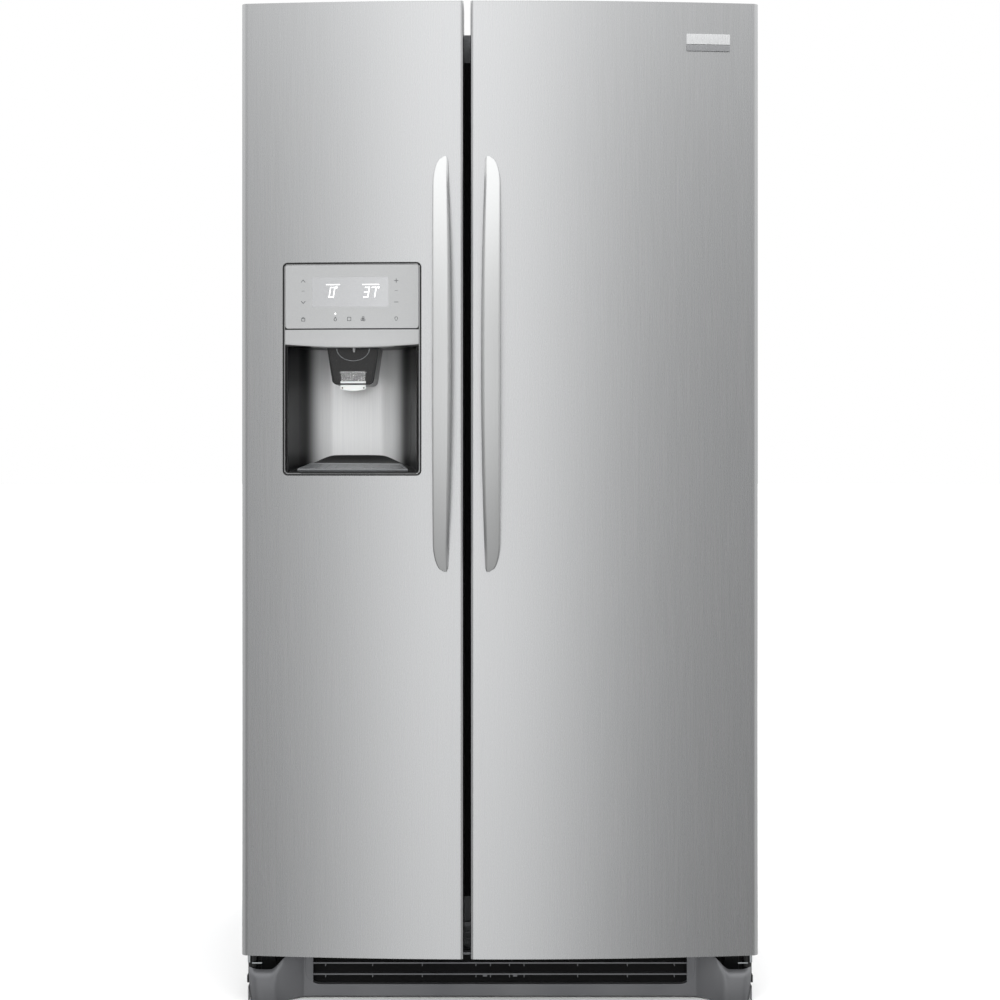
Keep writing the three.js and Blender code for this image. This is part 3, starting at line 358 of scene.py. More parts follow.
def make_looks():
    """Each slot of the record, and the extra finishes that only new pieces use."""
    abs_black = moulded("abs_black_semi_gloss", "#0a0a0b", "#070708", 0.3, 0.0015, 0.00002)
    finish = (0.36, 0.0009, 0.00004)
    grille = moulded("abs_dark_metallic_grey", "#737476", "#66676a", *finish, Metallic=0.55)
    dark = moulded("abs_dark_grey", "#4b4c4e", "#434446", 0.42, 0.0012, 0.00004)
    white = moulded("hips_white", "#f1f2f2", "#eaebeb", 0.32, 0.003, 0.00002)
    looks = {
        "stainless": stainless_brushed(),
        "handle_steel": handle_satin(),
        "case_paint": case_enamel(),
        "zinc": zinc_plate(),
        "white_plastic": white,
        "foamed_door": white,
        "foam": foam_skin(),
        "clear_plastic": clear_polystyrene(),
        "dark_plastic": dark,
        "silver_plastic": silver_lacquer(),
        "black_plastic": abs_black,
        "rubber": seal_vinyl(),
        "shelf_glass": tempered_glass(),
        "black_steel": black_enamel(),
        "cast_shell": black_enamel(),
        "bare_aluminium": bare_aluminium(),
    }
    extra = {
        "grille": (grille, "dark_plastic"),
        "recess": (recess_silver(), "silver_plastic"),
        "recess_shade": (recess_shade(), "silver_plastic"),
        "tray": (tray_grey(), "dark_plastic"),
        "milky": (milky_plastic(), "clear_plastic"),
        "copper": (copper_tube(), "zinc"),
        "painted_shade_black": (black_for_painted_shade(), "black_plastic"),
        "badge_light": (badge_metal("aluminium_polished_badge", "#e4e5e6"), "silver_plastic"),
        "badge_dark": (badge_metal("aluminium_dark_satin_badge", "#a3a4a6"), "silver_plastic"),
        "lamp": (lamp_diffuser(), "white_plastic"),
        "lens": (display_window(), "silver_plastic"),
        "lit": (lit_mark(), "white_plastic"),
        "ink": (ink_mark(), "dark_plastic"),
    }
    return {**{key: (mat, key) for key, mat in looks.items()}, **extra}


housing_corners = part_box("dispenser_housing")
DISPENSER_MIDDLE = (housing_corners[0].x + housing_corners[1].x) / 2
LOOKS = make_looks()
SLOT_OF = {part["node"]: part["material_slot"] for part in frame["record"]["subparts"]}
for node_name, node_object in frame["nodes"].items():
    node_object.data.materials.clear()
    node_object.data.materials.append(LOOKS[SLOT_OF[node_name]][0])


# ---- Modelling helpers --------------------------------------------------------------------------
def at(x, y, z):
    """A point given in millimetres."""
    return Vector((x, y, z)) * MM


def finish_piece(bm, name, body, look, replaces=(), sharp=40, closed=True):
    """Turns a bmesh into a smooth shaded piece that rides on a body."""
    if closed:
        bmesh.ops.recalc_face_normals(bm, faces=bm.faces)
    mesh = bpy.data.meshes.new(name)
    bm.to_mesh(mesh)
    bm.free()
    mesh.polygons.foreach_set("use_smooth", [True] * len(mesh.polygons))
    mesh.set_sharp_from_angle(angle=math.radians(sharp))
    piece = bpy.data.objects.new(name, mesh)
    bpy.context.scene.collection.objects.link(piece)
    flat_faces = piece.modifiers.new("flat_face_shading", "WEIGHTED_NORMAL")
    flat_faces.keep_sharp = True
    material, slot = LOOKS[look]
    mesh.materials.append(material)
    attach(piece, body)
    if replaces:
        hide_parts(*replaces)
    return piece


def round_edges(bm, edges, radius, segments=3):
    """Rounds edges with a circular bevel."""
    return bmesh.ops.bevel(
        bm,
        geom=list(edges),
        offset=radius,
        offset_type="OFFSET",
        segments=segments,
        profile=0.5,
        affect="EDGES",
        material=-1,
        clamp_overlap=True,
    )


def block(bm, lo, hi):
    """A box between two corners; returns its vertices."""
    lo, hi = Vector(lo), Vector(hi)
    verts = bmesh.ops.create_cube(bm, size=1.0)["verts"]
    bmesh.ops.scale(bm, vec=hi - lo, verts=verts)
    bmesh.ops.translate(bm, vec=(lo + hi) / 2, verts=verts)
    return verts


def edges_of(verts):
    """The edges whose two ends are both in verts."""
    inside = set(verts)
    found = {e for v in verts for e in v.link_edges}
    return [e for e in found if e.verts[0] in inside and e.verts[1] in inside]


def soft_block(bm, lo, hi, radius=0.0008, segments=2):
    """A box with all its edges rounded."""
    verts = block(bm, lo, hi)
    round_edges(bm, edges_of(verts), radius, segments)


def bars(bm, radius, spans, segments=2):
    """Rounded bars, each given by its two ends on X, on Y and on Z."""
    for x, y, z in spans:
        soft_block(bm, (x[0], y[0], z[0]), (x[1], y[1], z[1]), radius, segments)


def about(middle, half):
    """The two ends of a stretch with a given middle."""
    return (middle - half, middle + half)


def mirrored(side, near, far):
    """A stretch on X on one side of the middle, in mm from it, as its two ends in order."""
    return sorted((side * near * MM, side * far * MM))


def aim_skin(bm, face, way):
    """Makes an open skin's faces agree, with the given face looking the given way."""
    bmesh.ops.recalc_face_normals(bm, faces=bm.faces)
    if face.normal.dot(Vector(way)) < 0:
        bmesh.ops.reverse_faces(bm, faces=bm.faces)


def rod(bm, start, end, radius, sides=16, tip=None):
    """A round bar between two points, or a cone if tip is given."""
    start, end = Vector(start), Vector(end)
    along = end - start
    turn = along.to_track_quat("Z", "Y").to_matrix().to_4x4()
    bmesh.ops.create_cone(
        bm,
        cap_ends=True,
        segments=sides,
        radius1=radius,
        radius2=radius if tip is None else tip,
        depth=along.length,
        matrix=Matrix.Translation((start + end) / 2) @ turn,
    )


def every_part(bm):
    """All the corners, edges and faces of a bmesh, for an operator that takes them together."""
    return bm.verts[:] + bm.edges[:] + bm.faces[:]


def slice_across(bm, low, high, parts):
    """Cuts a piece into equal upright strips between two places on X."""
    for i in range(1, parts):
        place = (low + (high - low) * i / parts, 0, 0)
        bmesh.ops.bisect_plane(bm, geom=every_part(bm), plane_co=place, plane_no=(1, 0, 0))


def bridge_ends(bm, ends):
    """Opens a hole from one inset face to the one opposite, with walls between them."""
    loops = {e for face in ends for e in face.edges}
    bmesh.ops.delete(bm, geom=ends, context="FACES_ONLY")
    bmesh.ops.bridge_loops(bm, edges=list(loops))


def along_z(edge):
    """Whether an edge runs up and down."""
    a, b = (v.co for v in edge.verts)
    return (a - b).length > 0 and abs(a.z - b.z) > 0.98 * (a - b).length


def extrude_up(bm, face, height, axis=(0, 0, 1)):
    """Carries a face along an axis and keeps the start, so that the result is closed."""
    made = bmesh.ops.extrude_face_region(bm, geom=[face])
    moved = [v for v in made["geom"] if isinstance(v, bmesh.types.BMVert)]
    bmesh.ops.translate(bm, vec=Vector(axis) * height, verts=moved)
    return moved


# ---- Camera, floor and light --------------------------------------------------------------------
VIEW_MIDDLE = 0.891  # height of the middle of the picture at the doors
VIEW_WIDTH = 1.768  # how much of the plane of the doors' outer corners the picture takes in
CAMERA_AWAY = 3.0
SENSOR = 36.0
SHIFT = -0.055

floor_z = cad_box[0].z
door_lo, door_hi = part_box("fridge_door_skin")
DOOR_BULGE = 24 * MM
DOOR_HALF = door_hi.x
CORNER_Y = door_lo.y + DOOR_BULGE  # where the outer corners of both fronts lie


def door_y(x):
    """The front of both doors: one arc across the whole width."""
    return CORNER_Y - DOOR_BULGE * (1 - (x / DOOR_HALF) ** 2)


def set_camera():
    """A level camera in front, a little above the middle, so that uprights stay upright."""
    data = bpy.data.cameras.new("front_camera")
    data.lens = SENSOR * CAMERA_AWAY / VIEW_WIDTH
    data.sensor_width = SENSOR
    data.shift_y = SHIFT
    camera = bpy.data.objects.new("front_camera", data)
    camera.location = (0, CORNER_Y - CAMERA_AWAY, floor_z + VIEW_MIDDLE - SHIFT * VIEW_WIDTH)
    camera.rotation_euler = (math.pi / 2, 0, 0)
    bpy.context.scene.collection.objects.link(camera)
    bpy.context.scene.camera = camera


def lay_floor():
    """Plain pale floor, far wider than the object."""
    bm = bmesh.new()
    bmesh.ops.create_circle(bm, cap_ends=True, segments=96, radius=40)
    mesh = bpy.data.meshes.new("studio_floor")
    bm.to_mesh(mesh)
    bm.free()
    floor = bpy.data.objects.new("studio_floor", mesh)
    floor.location.z = floor_z
    bpy.context.scene.collection.objects.link(floor)
    mat, tree, shader = start_material("floor_matt_white", "#f4f4f4", 0.0, 0.9)
    shader.inputs["Specular IOR Level"].default_value = 0.1
    mesh.materials.append(mat)
    floor.visible_glossy = False


def ramp_of(tree, factor, steps):
    """A grey ramp through (place, level) steps, smooth between them."""
    made = put(tree, "ShaderNodeValToRGB", inputs={"Fac": factor})
    ramp = made.color_ramp
    ramp.interpolation = "B_SPLINE"
    for place, level in steps[1:-1]:
        ramp.elements.new(place).color = (level, level, level, 1.0)
    for index, (place, level) in ((0, steps[0]), (-1, steps[-1])):
        ramp.elements[index].position = place
        ramp.elements[index].color = (level, level, level, 1.0)
    return made.outputs["Color"]


def sky_light():
    """Studio surround: a white background, and light that falls off to both sides of the front."""
    world = bpy.data.worlds.new("studio")
    bpy.context.scene.world = world
    world.use_nodes = True
    tree = world.node_tree
    tree.nodes.clear()
    way = put(tree, "ShaderNodeTexCoord").outputs["Generated"]
    axis = put(tree, "ShaderNodeSeparateXYZ", inputs={"Vector": way}).outputs
    left_of_middle = 0.05
    offset = put(tree, "ShaderNodeMath", {"operation": "ADD"}, {0: axis["X"], 1: left_of_middle})
    side = put(tree, "ShaderNodeMath", {"operation": "ABSOLUTE"}, {0: offset.outputs[0]}).outputs[0]
    across = ramp_of(tree, side, ((0.0, 1.0), (0.08, 0.86), (0.2, 0.14), (0.5, 0.11), (1.0, 0.5)))
    inputs = {"Value": axis["Z"], "From Min": -1.0, "From Max": 1.0}
    height = put(tree, "ShaderNodeMapRange", inputs=inputs).outputs["Result"]
    lift = ramp_of(tree, height, ((0.0, 0.0), (0.57, 0.05), (0.68, 0.5), (0.8, 0.9), (1.0, 1.0)))
    dim = ramp_of(tree, height, ((0.0, 0.32), (0.28, 0.64), (0.4, 0.93), (0.5, 1.0), (1.0, 1.0)))
    inputs = {0: lift, 6: across, 7: (1.0, 1.0, 1.0, 1.0)}
    level = put(tree, "ShaderNodeMix", {"data_type": "RGBA"}, inputs).outputs[2]
    settings = {"data_type": "RGBA", "blend_type": "MULTIPLY"}
    level = put(tree, "ShaderNodeMix", settings, {0: 1.0, 6: level, 7: dim}).outputs[2]
    studio = put(tree, "ShaderNodeBackground", inputs={"Color": level, "Strength": 1.72})
    plain = put(tree, "ShaderNodeBackground", inputs={"Color": (1, 1, 1, 1), "Strength": 1.0})
    seen = put(tree, "ShaderNodeLightPath").outputs["Is Camera Ray"]
    inputs = {0: seen, 1: studio.outputs[0], 2: plain.outputs[0]}
    mixed = put(tree, "ShaderNodeMixShader", inputs=inputs)
    put(tree, "ShaderNodeOutputWorld", inputs={"Surface": mixed.outputs[0]})


def soft_light(name, place, aim, size, power, spread_angle=180):
    """A square softbox, which may be narrowed to a beam."""
    data = bpy.data.lights.new(name, "AREA")
    data.shape = "SQUARE"
    data.size = size
    data.energy = power
    data.spread = math.radians(spread_angle)
    lamp = bpy.data.objects.new(name, data)
    lamp.location = place
    lamp.visible_glossy = False
    lamp.rotation_euler = (Vector(aim) - Vector(place)).to_track_quat("-Z", "Y").to_euler()
    bpy.context.scene.collection.objects.link(lamp)


set_camera()
lay_floor()
sky_light()
soft_light("key_softbox", (-1.6, -3.2, 3.6), (0, 0, 1.0), 1.6, 30)
soft_light("rear_softbox", (2.4, 3.4, 3.2), (0, 0, 0.9), 2.0, 70)
soft_light("recess_fill_light", (-0.26, -1.6, 1.12), (-0.26, -0.25, 1.04), 0.14, 0.045, 15)
bpy.context.scene.view_settings.view_transform = "Standard"


# ---- Doors --------------------------------------------------------------------------------------
SHEET = 1.5 * MM
OUTER_CORNER = 9 * MM
INNER_CORNER = 5 * MM
CASE_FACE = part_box("case_wrapper")[0].y
DOOR_BACK = CASE_FACE - 14 * MM
ARC_RADIUS = (DOOR_HALF**2 + DOOR_BULGE**2) / (2 * DOOR_BULGE)
ARC_CENTRE = Vector((0, CORNER_Y - DOOR_BULGE + ARC_RADIUS, 0))


def arc_point(x, inset, z):
    """A point on the door's front, set back from it by inset."""
    reach = ARC_RADIUS - inset
    return Vector((x, ARC_CENTRE.y - math.sqrt(reach**2 - x**2), z))


def door_plan(bm, x0, x1, back, z, inset, steps=32):
    """Plan edges of a door from back to back: two straight sides and the arc spun between them."""
    left, right = x0 + inset, x1 - inset
    corner = bm.verts.new(arc_point(left, inset, z))
    start = bm.verts.new((left, back, z))
    bm.edges.new((start, corner))
    reach = ARC_RADIUS - inset
    spun = bmesh.ops.spin(
        bm,
        geom=[corner],
        cent=(0, ARC_CENTRE.y, z),
        axis=(0, 0, 1),
        dvec=(0, 0, 0),
        angle=math.asin(right / reach) - math.asin(left / reach),
        steps=steps,
        use_duplicate=False,
        use_merge=False,
    )
    last = [v for v in spun["geom_last"] if isinstance(v, bmesh.types.BMVert)][0]
    end = bm.verts.new((right, back, z))
    bm.edges.new((last, end))
    return start, end


def front_corner_edges(bm, x0, x1, inset):
    """The two upright edges where the arc meets the sides, as (left, right)."""
    found = []
    for x in (x0 + inset, x1 - inset):
        near = [
            e for e in bm.edges
            if along_z(e)
            and abs(e.verts[0].co.x - x) < 1e-5
            and e.verts[0].co.y < CORNER_Y + 20 * MM
        ]
        found.append(near)
    return found


def door_skin(name, node, body, left_corner, right_corner, hole=None):
    """Folded stainless sheet with a rounded fold down each side, and a hole for a dispenser."""
    lo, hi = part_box(node)
    bm = bmesh.new()
    door_plan(bm, lo.x, hi.x, DOOR_BACK, lo.z, 0.0)
    made = bmesh.ops.extrude_edge_only(bm, edges=bm.edges[:])
    top = [v for v in made["geom"] if isinstance(v, bmesh.types.BMVert)]
    bmesh.ops.translate(bm, vec=(0, 0, hi.z - lo.z), verts=top)
    left, right = front_corner_edges(bm, lo.x, hi.x, 0.0)
    round_edges(bm, left, left_corner, 5)
    round_edges(bm, right, right_corner, 5)
    if hole:
        for index, levels in ((0, (hole[0].x, hole[1].x)), (2, (hole[0].z, hole[1].z))):
            for level in levels:
                point, normal = Vector(), Vector()
                point[index], normal[index] = level, 1.0
                geom = bm.verts[:] + bm.edges[:] + bm.faces[:]
                bmesh.ops.bisect_plane(bm, geom=geom, plane_co=point, plane_no=normal)
        gone = [f for f in bm.faces if in_hole(f.calc_center_median(), hole)]
        bmesh.ops.delete(bm, geom=gone, context="FACES")
    bmesh.ops.recalc_face_normals(bm, faces=bm.faces)
    outward = [f for f in bm.faces if abs(f.normal.y) > 0.9]
    if outward and outward[0].normal.y > 0:
        bmesh.ops.reverse_faces(bm, faces=bm.faces)
    bmesh.ops.solidify(bm, geom=bm.faces[:], thickness=SHEET)
    return finish_piece(bm, name, body, "stainless", [node], sharp=30, closed=False)


def in_hole(point, hole):
    """Whether a point of the front lies inside the hole's upright rectangle."""
    return hole[0].x < point.x < hole[1].x and hole[0].z < point.z < hole[1].z


def end_cap(name, node, body, top):
    """Moulded cap that closes the top or the bottom of a door, just inside the sheet."""
    lo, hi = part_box(node)
    depth = 14 * MM
    inset = SHEET + 0.3 * MM
    z = hi.z - depth - 0.4 * MM if top else lo.z + 0.4 * MM
    bm = bmesh.new()
    start, end = door_plan(bm, lo.x, hi.x, DOOR_BACK - 0.5 * MM, z, inset)
    bm.edges.new((end, start))
    face = bmesh.ops.contextual_create(bm, geom=bm.edges[:])["faces"][0]
    extrude_up(bm, face, depth)
    for near in front_corner_edges(bm, lo.x, hi.x, inset):
        round_edges(bm, near, 4 * MM, 3)
    level = z + depth if top else z
    rim = [e for e in bm.edges if all(abs(v.co.z - level) < 1e-6 for v in e.verts)]
    round_edges(bm, rim, 1.2 * MM, 2)
    return finish_piece(bm, name, body, "dark_plastic", sharp=35)


def eased_copy(name, node, radius, look=None, segments=2, turn=50):
    """Cleaned copy of a CAD node with its hard edges rounded, in place of the node."""
    source = frame["nodes"][node]
    bm = bmesh.new()
    bm.from_mesh(source.data)
    bmesh.ops.remove_doubles(bm, verts=bm.verts[:], dist=0.01 * MM)
    bmesh.ops.dissolve_limit(
        bm, angle_limit=math.radians(0.5), verts=bm.verts[:], edges=bm.edges[:], delimit=set()
    )
    limit = math.radians(turn)
    hard = [e for e in bm.edges if len(e.link_faces) == 2 and e.calc_face_angle(0) > limit]
    bmesh.ops.bevel(
        bm,
        geom=hard,
        offset=radius,
        offset_type="OFFSET",
        affect="EDGES",
        segments=segments,
        profile=0.5,
        material=-1,
        clamp_overlap=True,
    )
    for face in bm.faces:
        face.material_index = 0
    key = look or SLOT_OF[node]
    return finish_piece(bm, name, source["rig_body"], key, [node], sharp=24, closed=False)


def inner_panel(name, node, skin, body, dyke):
    """Formed liner of a door: a flat flange, and a raised dyke round the pocket for the bins."""
    lo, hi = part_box(skin)
    flange = 4 * MM
    bm = bmesh.new()
    block(
        bm,
        (lo.x + SHEET + 0.4 * MM, DOOR_BACK - flange, lo.z + 15 * MM),
        (hi.x - SHEET - 0.4 * MM, DOOR_BACK, hi.z - 15 * MM),
    )
    face = max(bm.faces, key=lambda f: f.calc_center_median().y)
    reach = CASE_FACE + 40 * MM
    wall = 22 * MM
    x_walls = (dyke[0], dyke[1])
    z_walls = (186 * MM, 1665 * MM)
    step_in(bm, face, x_walls, z_walls)
    extruded = push(bm, face, reach - DOOR_BACK)
    step_in(bm, extruded, (dyke[0] + wall, dyke[1] - wall), (z_walls[0] + wall, z_walls[1] - wall))
    push(bm, extruded, DOOR_BACK - reach)
    sharp_edges = [
        e for e in bm.edges
        if not e.is_boundary
        and max(v.co.y for v in e.verts) > DOOR_BACK + 1e-6
        and e.calc_face_angle(0) > math.radians(60)
    ]
    round_edges(bm, sharp_edges, 7 * MM, 4)
    return finish_piece(bm, name, body, "foamed_door", [node], sharp=35)


def step_in(bm, face, x_span, z_span):
    """Insets a face and moves the new rim to a given rectangle in X and Z."""
    bmesh.ops.inset_region(bm, faces=[face], thickness=1 * MM)
    centre = face.calc_center_median()
    for v in face.verts:
        v.co.x = x_span[0] if v.co.x < centre.x else x_span[1]
        v.co.z = z_span[0] if v.co.z < centre.z else z_span[1]


def push(bm, face, depth):
    """Extrudes one face along Y and returns the moved face."""
    made = bmesh.ops.extrude_discrete_faces(bm, faces=[face])["faces"][0]
    bmesh.ops.translate(bm, vec=(0, depth, 0), verts=made.verts[:])
    return made


def gasket_ring(name, node, body):
    """Magnetic seal: a soft lip round the door, a ring with rounded rims."""
    lo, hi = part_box(node)
    width = 16 * MM
    bm = bmesh.new()
    block(bm, lo, hi)
    ends = [f for f in bm.faces if abs(f.normal.y) > 0.9]
    for face in ends:
        bmesh.ops.inset_region(bm, faces=[face], thickness=width)
    bridge_ends(bm, ends)
    rims = [e for e in bm.edges if len(e.link_faces) == 2 and e.calc_face_angle(0) > 1.0]
    round_edges(bm, rims, 3.5 * MM, 3)
    return finish_piece(bm, name, body, "rubber", [node], sharp=50)


HANDLE_WIDTH = 33 * MM
HANDLE_THICK = 17.7 * MM


def bowed_handle(name, node, body, gap_side):
    """A bar whose outer edge is straight; its front and its edge towards the gap are bowed, and its
    tips run out to a point on the door. gap_side is +1 where the gap lies on the right."""
    lo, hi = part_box(node)
    half = (hi.z - lo.z) / 2
    middle = (hi.z + lo.z) / 2
    outer = lo.x if gap_side > 0 else hi.x
    bm = bmesh.new()
    verts = block(bm, (0, 0, -half), (HANDLE_WIDTH, HANDLE_THICK, half))
    front = [e for e in edges_of(verts) if along_z(e) and e.verts[0].co.y < 1e-6]
    rear = [e for e in edges_of(verts) if along_z(e) and e.verts[0].co.y > 1e-6]
    facet = [e for e in front if e.verts[0].co.x > 1e-6]
    outer_edge = [e for e in front if e not in facet]
    made = round_edges(bm, facet, 5 * MM, 1)
    round_edges(bm, [e for e in made["edges"] if along_z(e)], 1.2 * MM, 3)
    round_edges(bm, outer_edge, 3 * MM, 5)
    round_edges(bm, [e for e in rear if e.is_valid], 3.5 * MM, 3)
    long_edges = [e for e in bm.edges if along_z(e)]
    bmesh.ops.subdivide_edges(bm, edges=long_edges, cuts=120, use_grid_fill=True)
    face = door_y(outer + gap_side * HANDLE_WIDTH / 2)
    tip_face = face - 6 * MM
    rise = tip_face - lo.y - 1 * MM
    for v in bm.verts:
        t = v.co.z / half
        end = half - abs(v.co.z)
        arch = 1 - abs(t) ** 2.6
        full = 26 * MM + 7 * MM * (1 - t * t)
        pull_in = 19 * MM * (1 - math.sqrt(1 - max(0, 1 - end / (52 * MM)) ** 2))
        nose = 2 * MM * (1 - math.sqrt(1 - max(0, 1 - end / (4 * MM)) ** 2))
        width = full - pull_in - nose
        across = v.co.x / HANDLE_WIDTH
        depth = v.co.y / HANDLE_THICK
        thick = 5.7 * MM + 12 * MM * min(1, arch * 3)
        x = full - nose - (1 - across) * width
        crown = 4 * MM * (across - 0.62) ** 2 * (1 - depth)
        y = tip_face - rise * arch + depth * thick + crown * min(1, 0.3 + arch)
        v.co = (outer + gap_side * x, min(y, face - 0.2 * MM), middle + v.co.z)
    for z in (lo.z + 24 * MM, hi.z - 24 * MM):
        x = outer + gap_side * 15 * MM
        soft_block(
            bm,
            (x - 7 * MM, face - 7 * MM, z - 13 * MM),
            (x + 7 * MM, face - 0.3 * MM, z + 13 * MM),
            1.5 * MM,
        )
    return finish_piece(bm, name, body, "handle_steel", [node], sharp=35)


HOUSING_LO, HOUSING_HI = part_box("dispenser_housing")
FLANGE = 4 * MM
hole = (
    HOUSING_LO + Vector((FLANGE, 0, FLANGE)),
    HOUSING_HI - Vector((FLANGE, 0, FLANGE)),
)
door_skin(
    "freezer_door_sheet", "freezer_door_skin", "freezer_door", OUTER_CORNER, INNER_CORNER, hole
)
door_skin("fridge_door_sheet", "fridge_door_skin", "fridge_door", INNER_CORNER, OUTER_CORNER)
for door in ("freezer", "fridge"):
    for word in ("top", "bottom"):
        end_cap(f"{door}_{word}_cap", f"{door}_door_skin", f"{door}_door", word == "top")
bin_reach = 25 * MM
for door in ("freezer", "fridge"):
    bin_lo, bin_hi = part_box(f"{door}_bin_lower")
    span = (bin_lo.x - bin_reach, bin_hi.x + bin_reach)
    if door == "fridge":
        names = ("fridge_inner_panel", "fridge_door_liner", "fridge_door_skin", "fridge_door")
        inner_panel(*names, span)
    else:
        eased_copy("freezer_inner_panel", "freezer_door_liner", 4 * MM, None, 3)
    gasket_ring(f"{door}_seal", f"{door}_door_gasket", f"{door}_door")
bowed_handle("freezer_pull", "freezer_handle", "freezer_door", 1)
bowed_handle("fridge_pull", "fridge_handle", "fridge_door", -1)

# ---- Dispenser ----------------------------------------------------------------------------------
MIDDLE_X = DISPENSER_MIDDLE
PANEL_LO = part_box("control_panel")[0]
HOOD_LO, HOOD_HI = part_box("chute_hood")
PADDLE_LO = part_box("dispenser_paddle")[0]
RECESS_TOP = HOOD_HI.z
RECESS_BACK = HOOD_HI.y
PROUD = 1.2 * MM
RECESS_HALF = 114 * MM
BACK_HALF = 66 * MM  # half width of the recess's flat back
SIDE_HALF = 96 * MM  # where a side wall turns towards the back
FLOOR_HALF = 113.5 * MM
FLOOR_DEPTH = 118 * MM
FLOOR_RISE = 15 * MM
ROLL_FROM = 88 * MM  # depth at which the floor starts to roll up into the lining


def rounded_plate(bm, x_span, z_span, y_span, radius, segments=5):
    """An upright plate with rounded corners."""
    verts = block(bm, (x_span[0], y_span[0], z_span[0]), (x_span[1], y_span[1], z_span[1]))
    uprights = [
        e for e in edges_of(verts)
        if abs(e.verts[0].co.y - e.verts[1].co.y) > (y_span[1] - y_span[0]) * 0.9
    ]
    round_edges(bm, uprights, radius, segments)


def rounded_ring(bm, x_span, z_span, y_span, radius, width):
    """An upright ring: a rounded plate with a smaller rounded hole."""
    start = set(bm.faces)
    rounded_plate(bm, x_span, z_span, y_span, radius)
    bm.normal_update()
    ends = [f for f in bm.faces if f not in start and len(f.verts) > 4]
    for face in ends:
        bmesh.ops.inset_region(bm, faces=[face], thickness=width)
    bridge_ends(bm, ends)


def bend_to_door(bm, step=12 * MM):
    """Cuts a piece into upright strips and lays it on the door's arc; its Y starts as the depth
    behind the front."""
    low = min(v.co.x for v in bm.verts)
    high = max(v.co.x for v in bm.verts)
    slice_across(bm, low, high, int((high - low) / step) + 1)
    for v in bm.verts:
        v.co.y += door_y(v.co.x)


def soften(bm, y_level, radius, segments=2):
    """Rounds the edges that lie on one level of Y, before the piece is bent."""
    near = [e for e in bm.edges if all(abs(v.co.y - y_level) < 1e-6 for v in e.verts)]
    rims = [e for e in near if len(e.link_faces) == 2 and e.calc_face_angle(0) > 1.0]
    round_edges(bm, rims, radius, segments)


def dispenser_front():
    """Black frame, the bright bead inside it, the control panel, and the strip over the recess."""
    low, high = HOUSING_LO, HOUSING_HI
    frame_wide = 3.0 * MM
    bm = bmesh.new()
    rounded_ring(bm, (low.x, high.x), (low.z, high.z), (-PROUD, 14 * MM), 9 * MM, frame_wide)
    bm.normal_update()
    soften(bm, -PROUD, 0.6 * MM)
    bend_to_door(bm)
    finish_piece(bm, "dispenser_black_frame", "freezer_door", "black_plastic")

    x_span = (low.x + frame_wide + 0.2 * MM, high.x - frame_wide - 0.2 * MM)
    bm = bmesh.new()
    z_span = (low.z + frame_wide + 0.2 * MM, high.z - frame_wide - 0.2 * MM)
    rounded_ring(bm, x_span, z_span, (-0.4 * MM, 10 * MM), 7 * MM, 1.1 * MM)
    bend_to_door(bm)
    finish_piece(bm, "dispenser_bright_bead", "freezer_door", "recess")

    inner = (x_span[0] + 1.5 * MM, x_span[1] - 1.5 * MM)
    bm = bmesh.new()
    z_span = (PANEL_LO.z + 1.0 * MM, z_span[1] - 1.5 * MM)
    rounded_plate(bm, inner, z_span, (-1.1 * MM, 10 * MM), 5 * MM)
    bm.normal_update()
    soften(bm, -1.1 * MM, 0.7 * MM)
    bend_to_door(bm)
    finish_piece(bm, "control_panel_face", "freezer_door", "silver_plastic", ["control_panel"])

    bm = bmesh.new()
    soft_block(
        bm,
        (inner[0], -0.2 * MM, RECESS_TOP + 1 * MM),
        (inner[1], 26 * MM, PANEL_LO.z + 6 * MM),
        0.3 * MM,
    )
    bend_to_door(bm)
    finish_piece(bm, "control_panel_shadow_gap", "freezer_door", "black_plastic")
    return inner


def recess_strip(inner):
    """Silver strip under the control panel; its lower edge bows down and is rolled inwards."""
    depth = 24 * MM
    bm = bmesh.new()
    block(bm, (inner[0], -1.0 * MM, RECESS_TOP - 1 * MM), (inner[1], depth, PANEL_LO.z - 1.2 * MM))
    bend_to_door(bm, 8 * MM)
    half = (inner[1] - inner[0]) / 2
    for v in bm.verts:
        if v.co.z < RECESS_TOP:
            v.co.z += 5 * MM * ((v.co.x - MIDDLE_X) / half) ** 2
    bm.normal_update()
    lips = [
        e for e in bm.edges
        if len(e.link_faces) == 2
        and max(v.co.z for v in e.verts) < RECESS_TOP + 5 * MM
        and e.calc_face_angle(0) > 0.9
        and abs(e.verts[0].co.x - e.verts[1].co.x) > 1 * MM
    ]
    round_edges(bm, lips, 2.2 * MM, 4)
    finish_piece(bm, "recess_top_strip", "freezer_door", "silver_plastic", sharp=45)


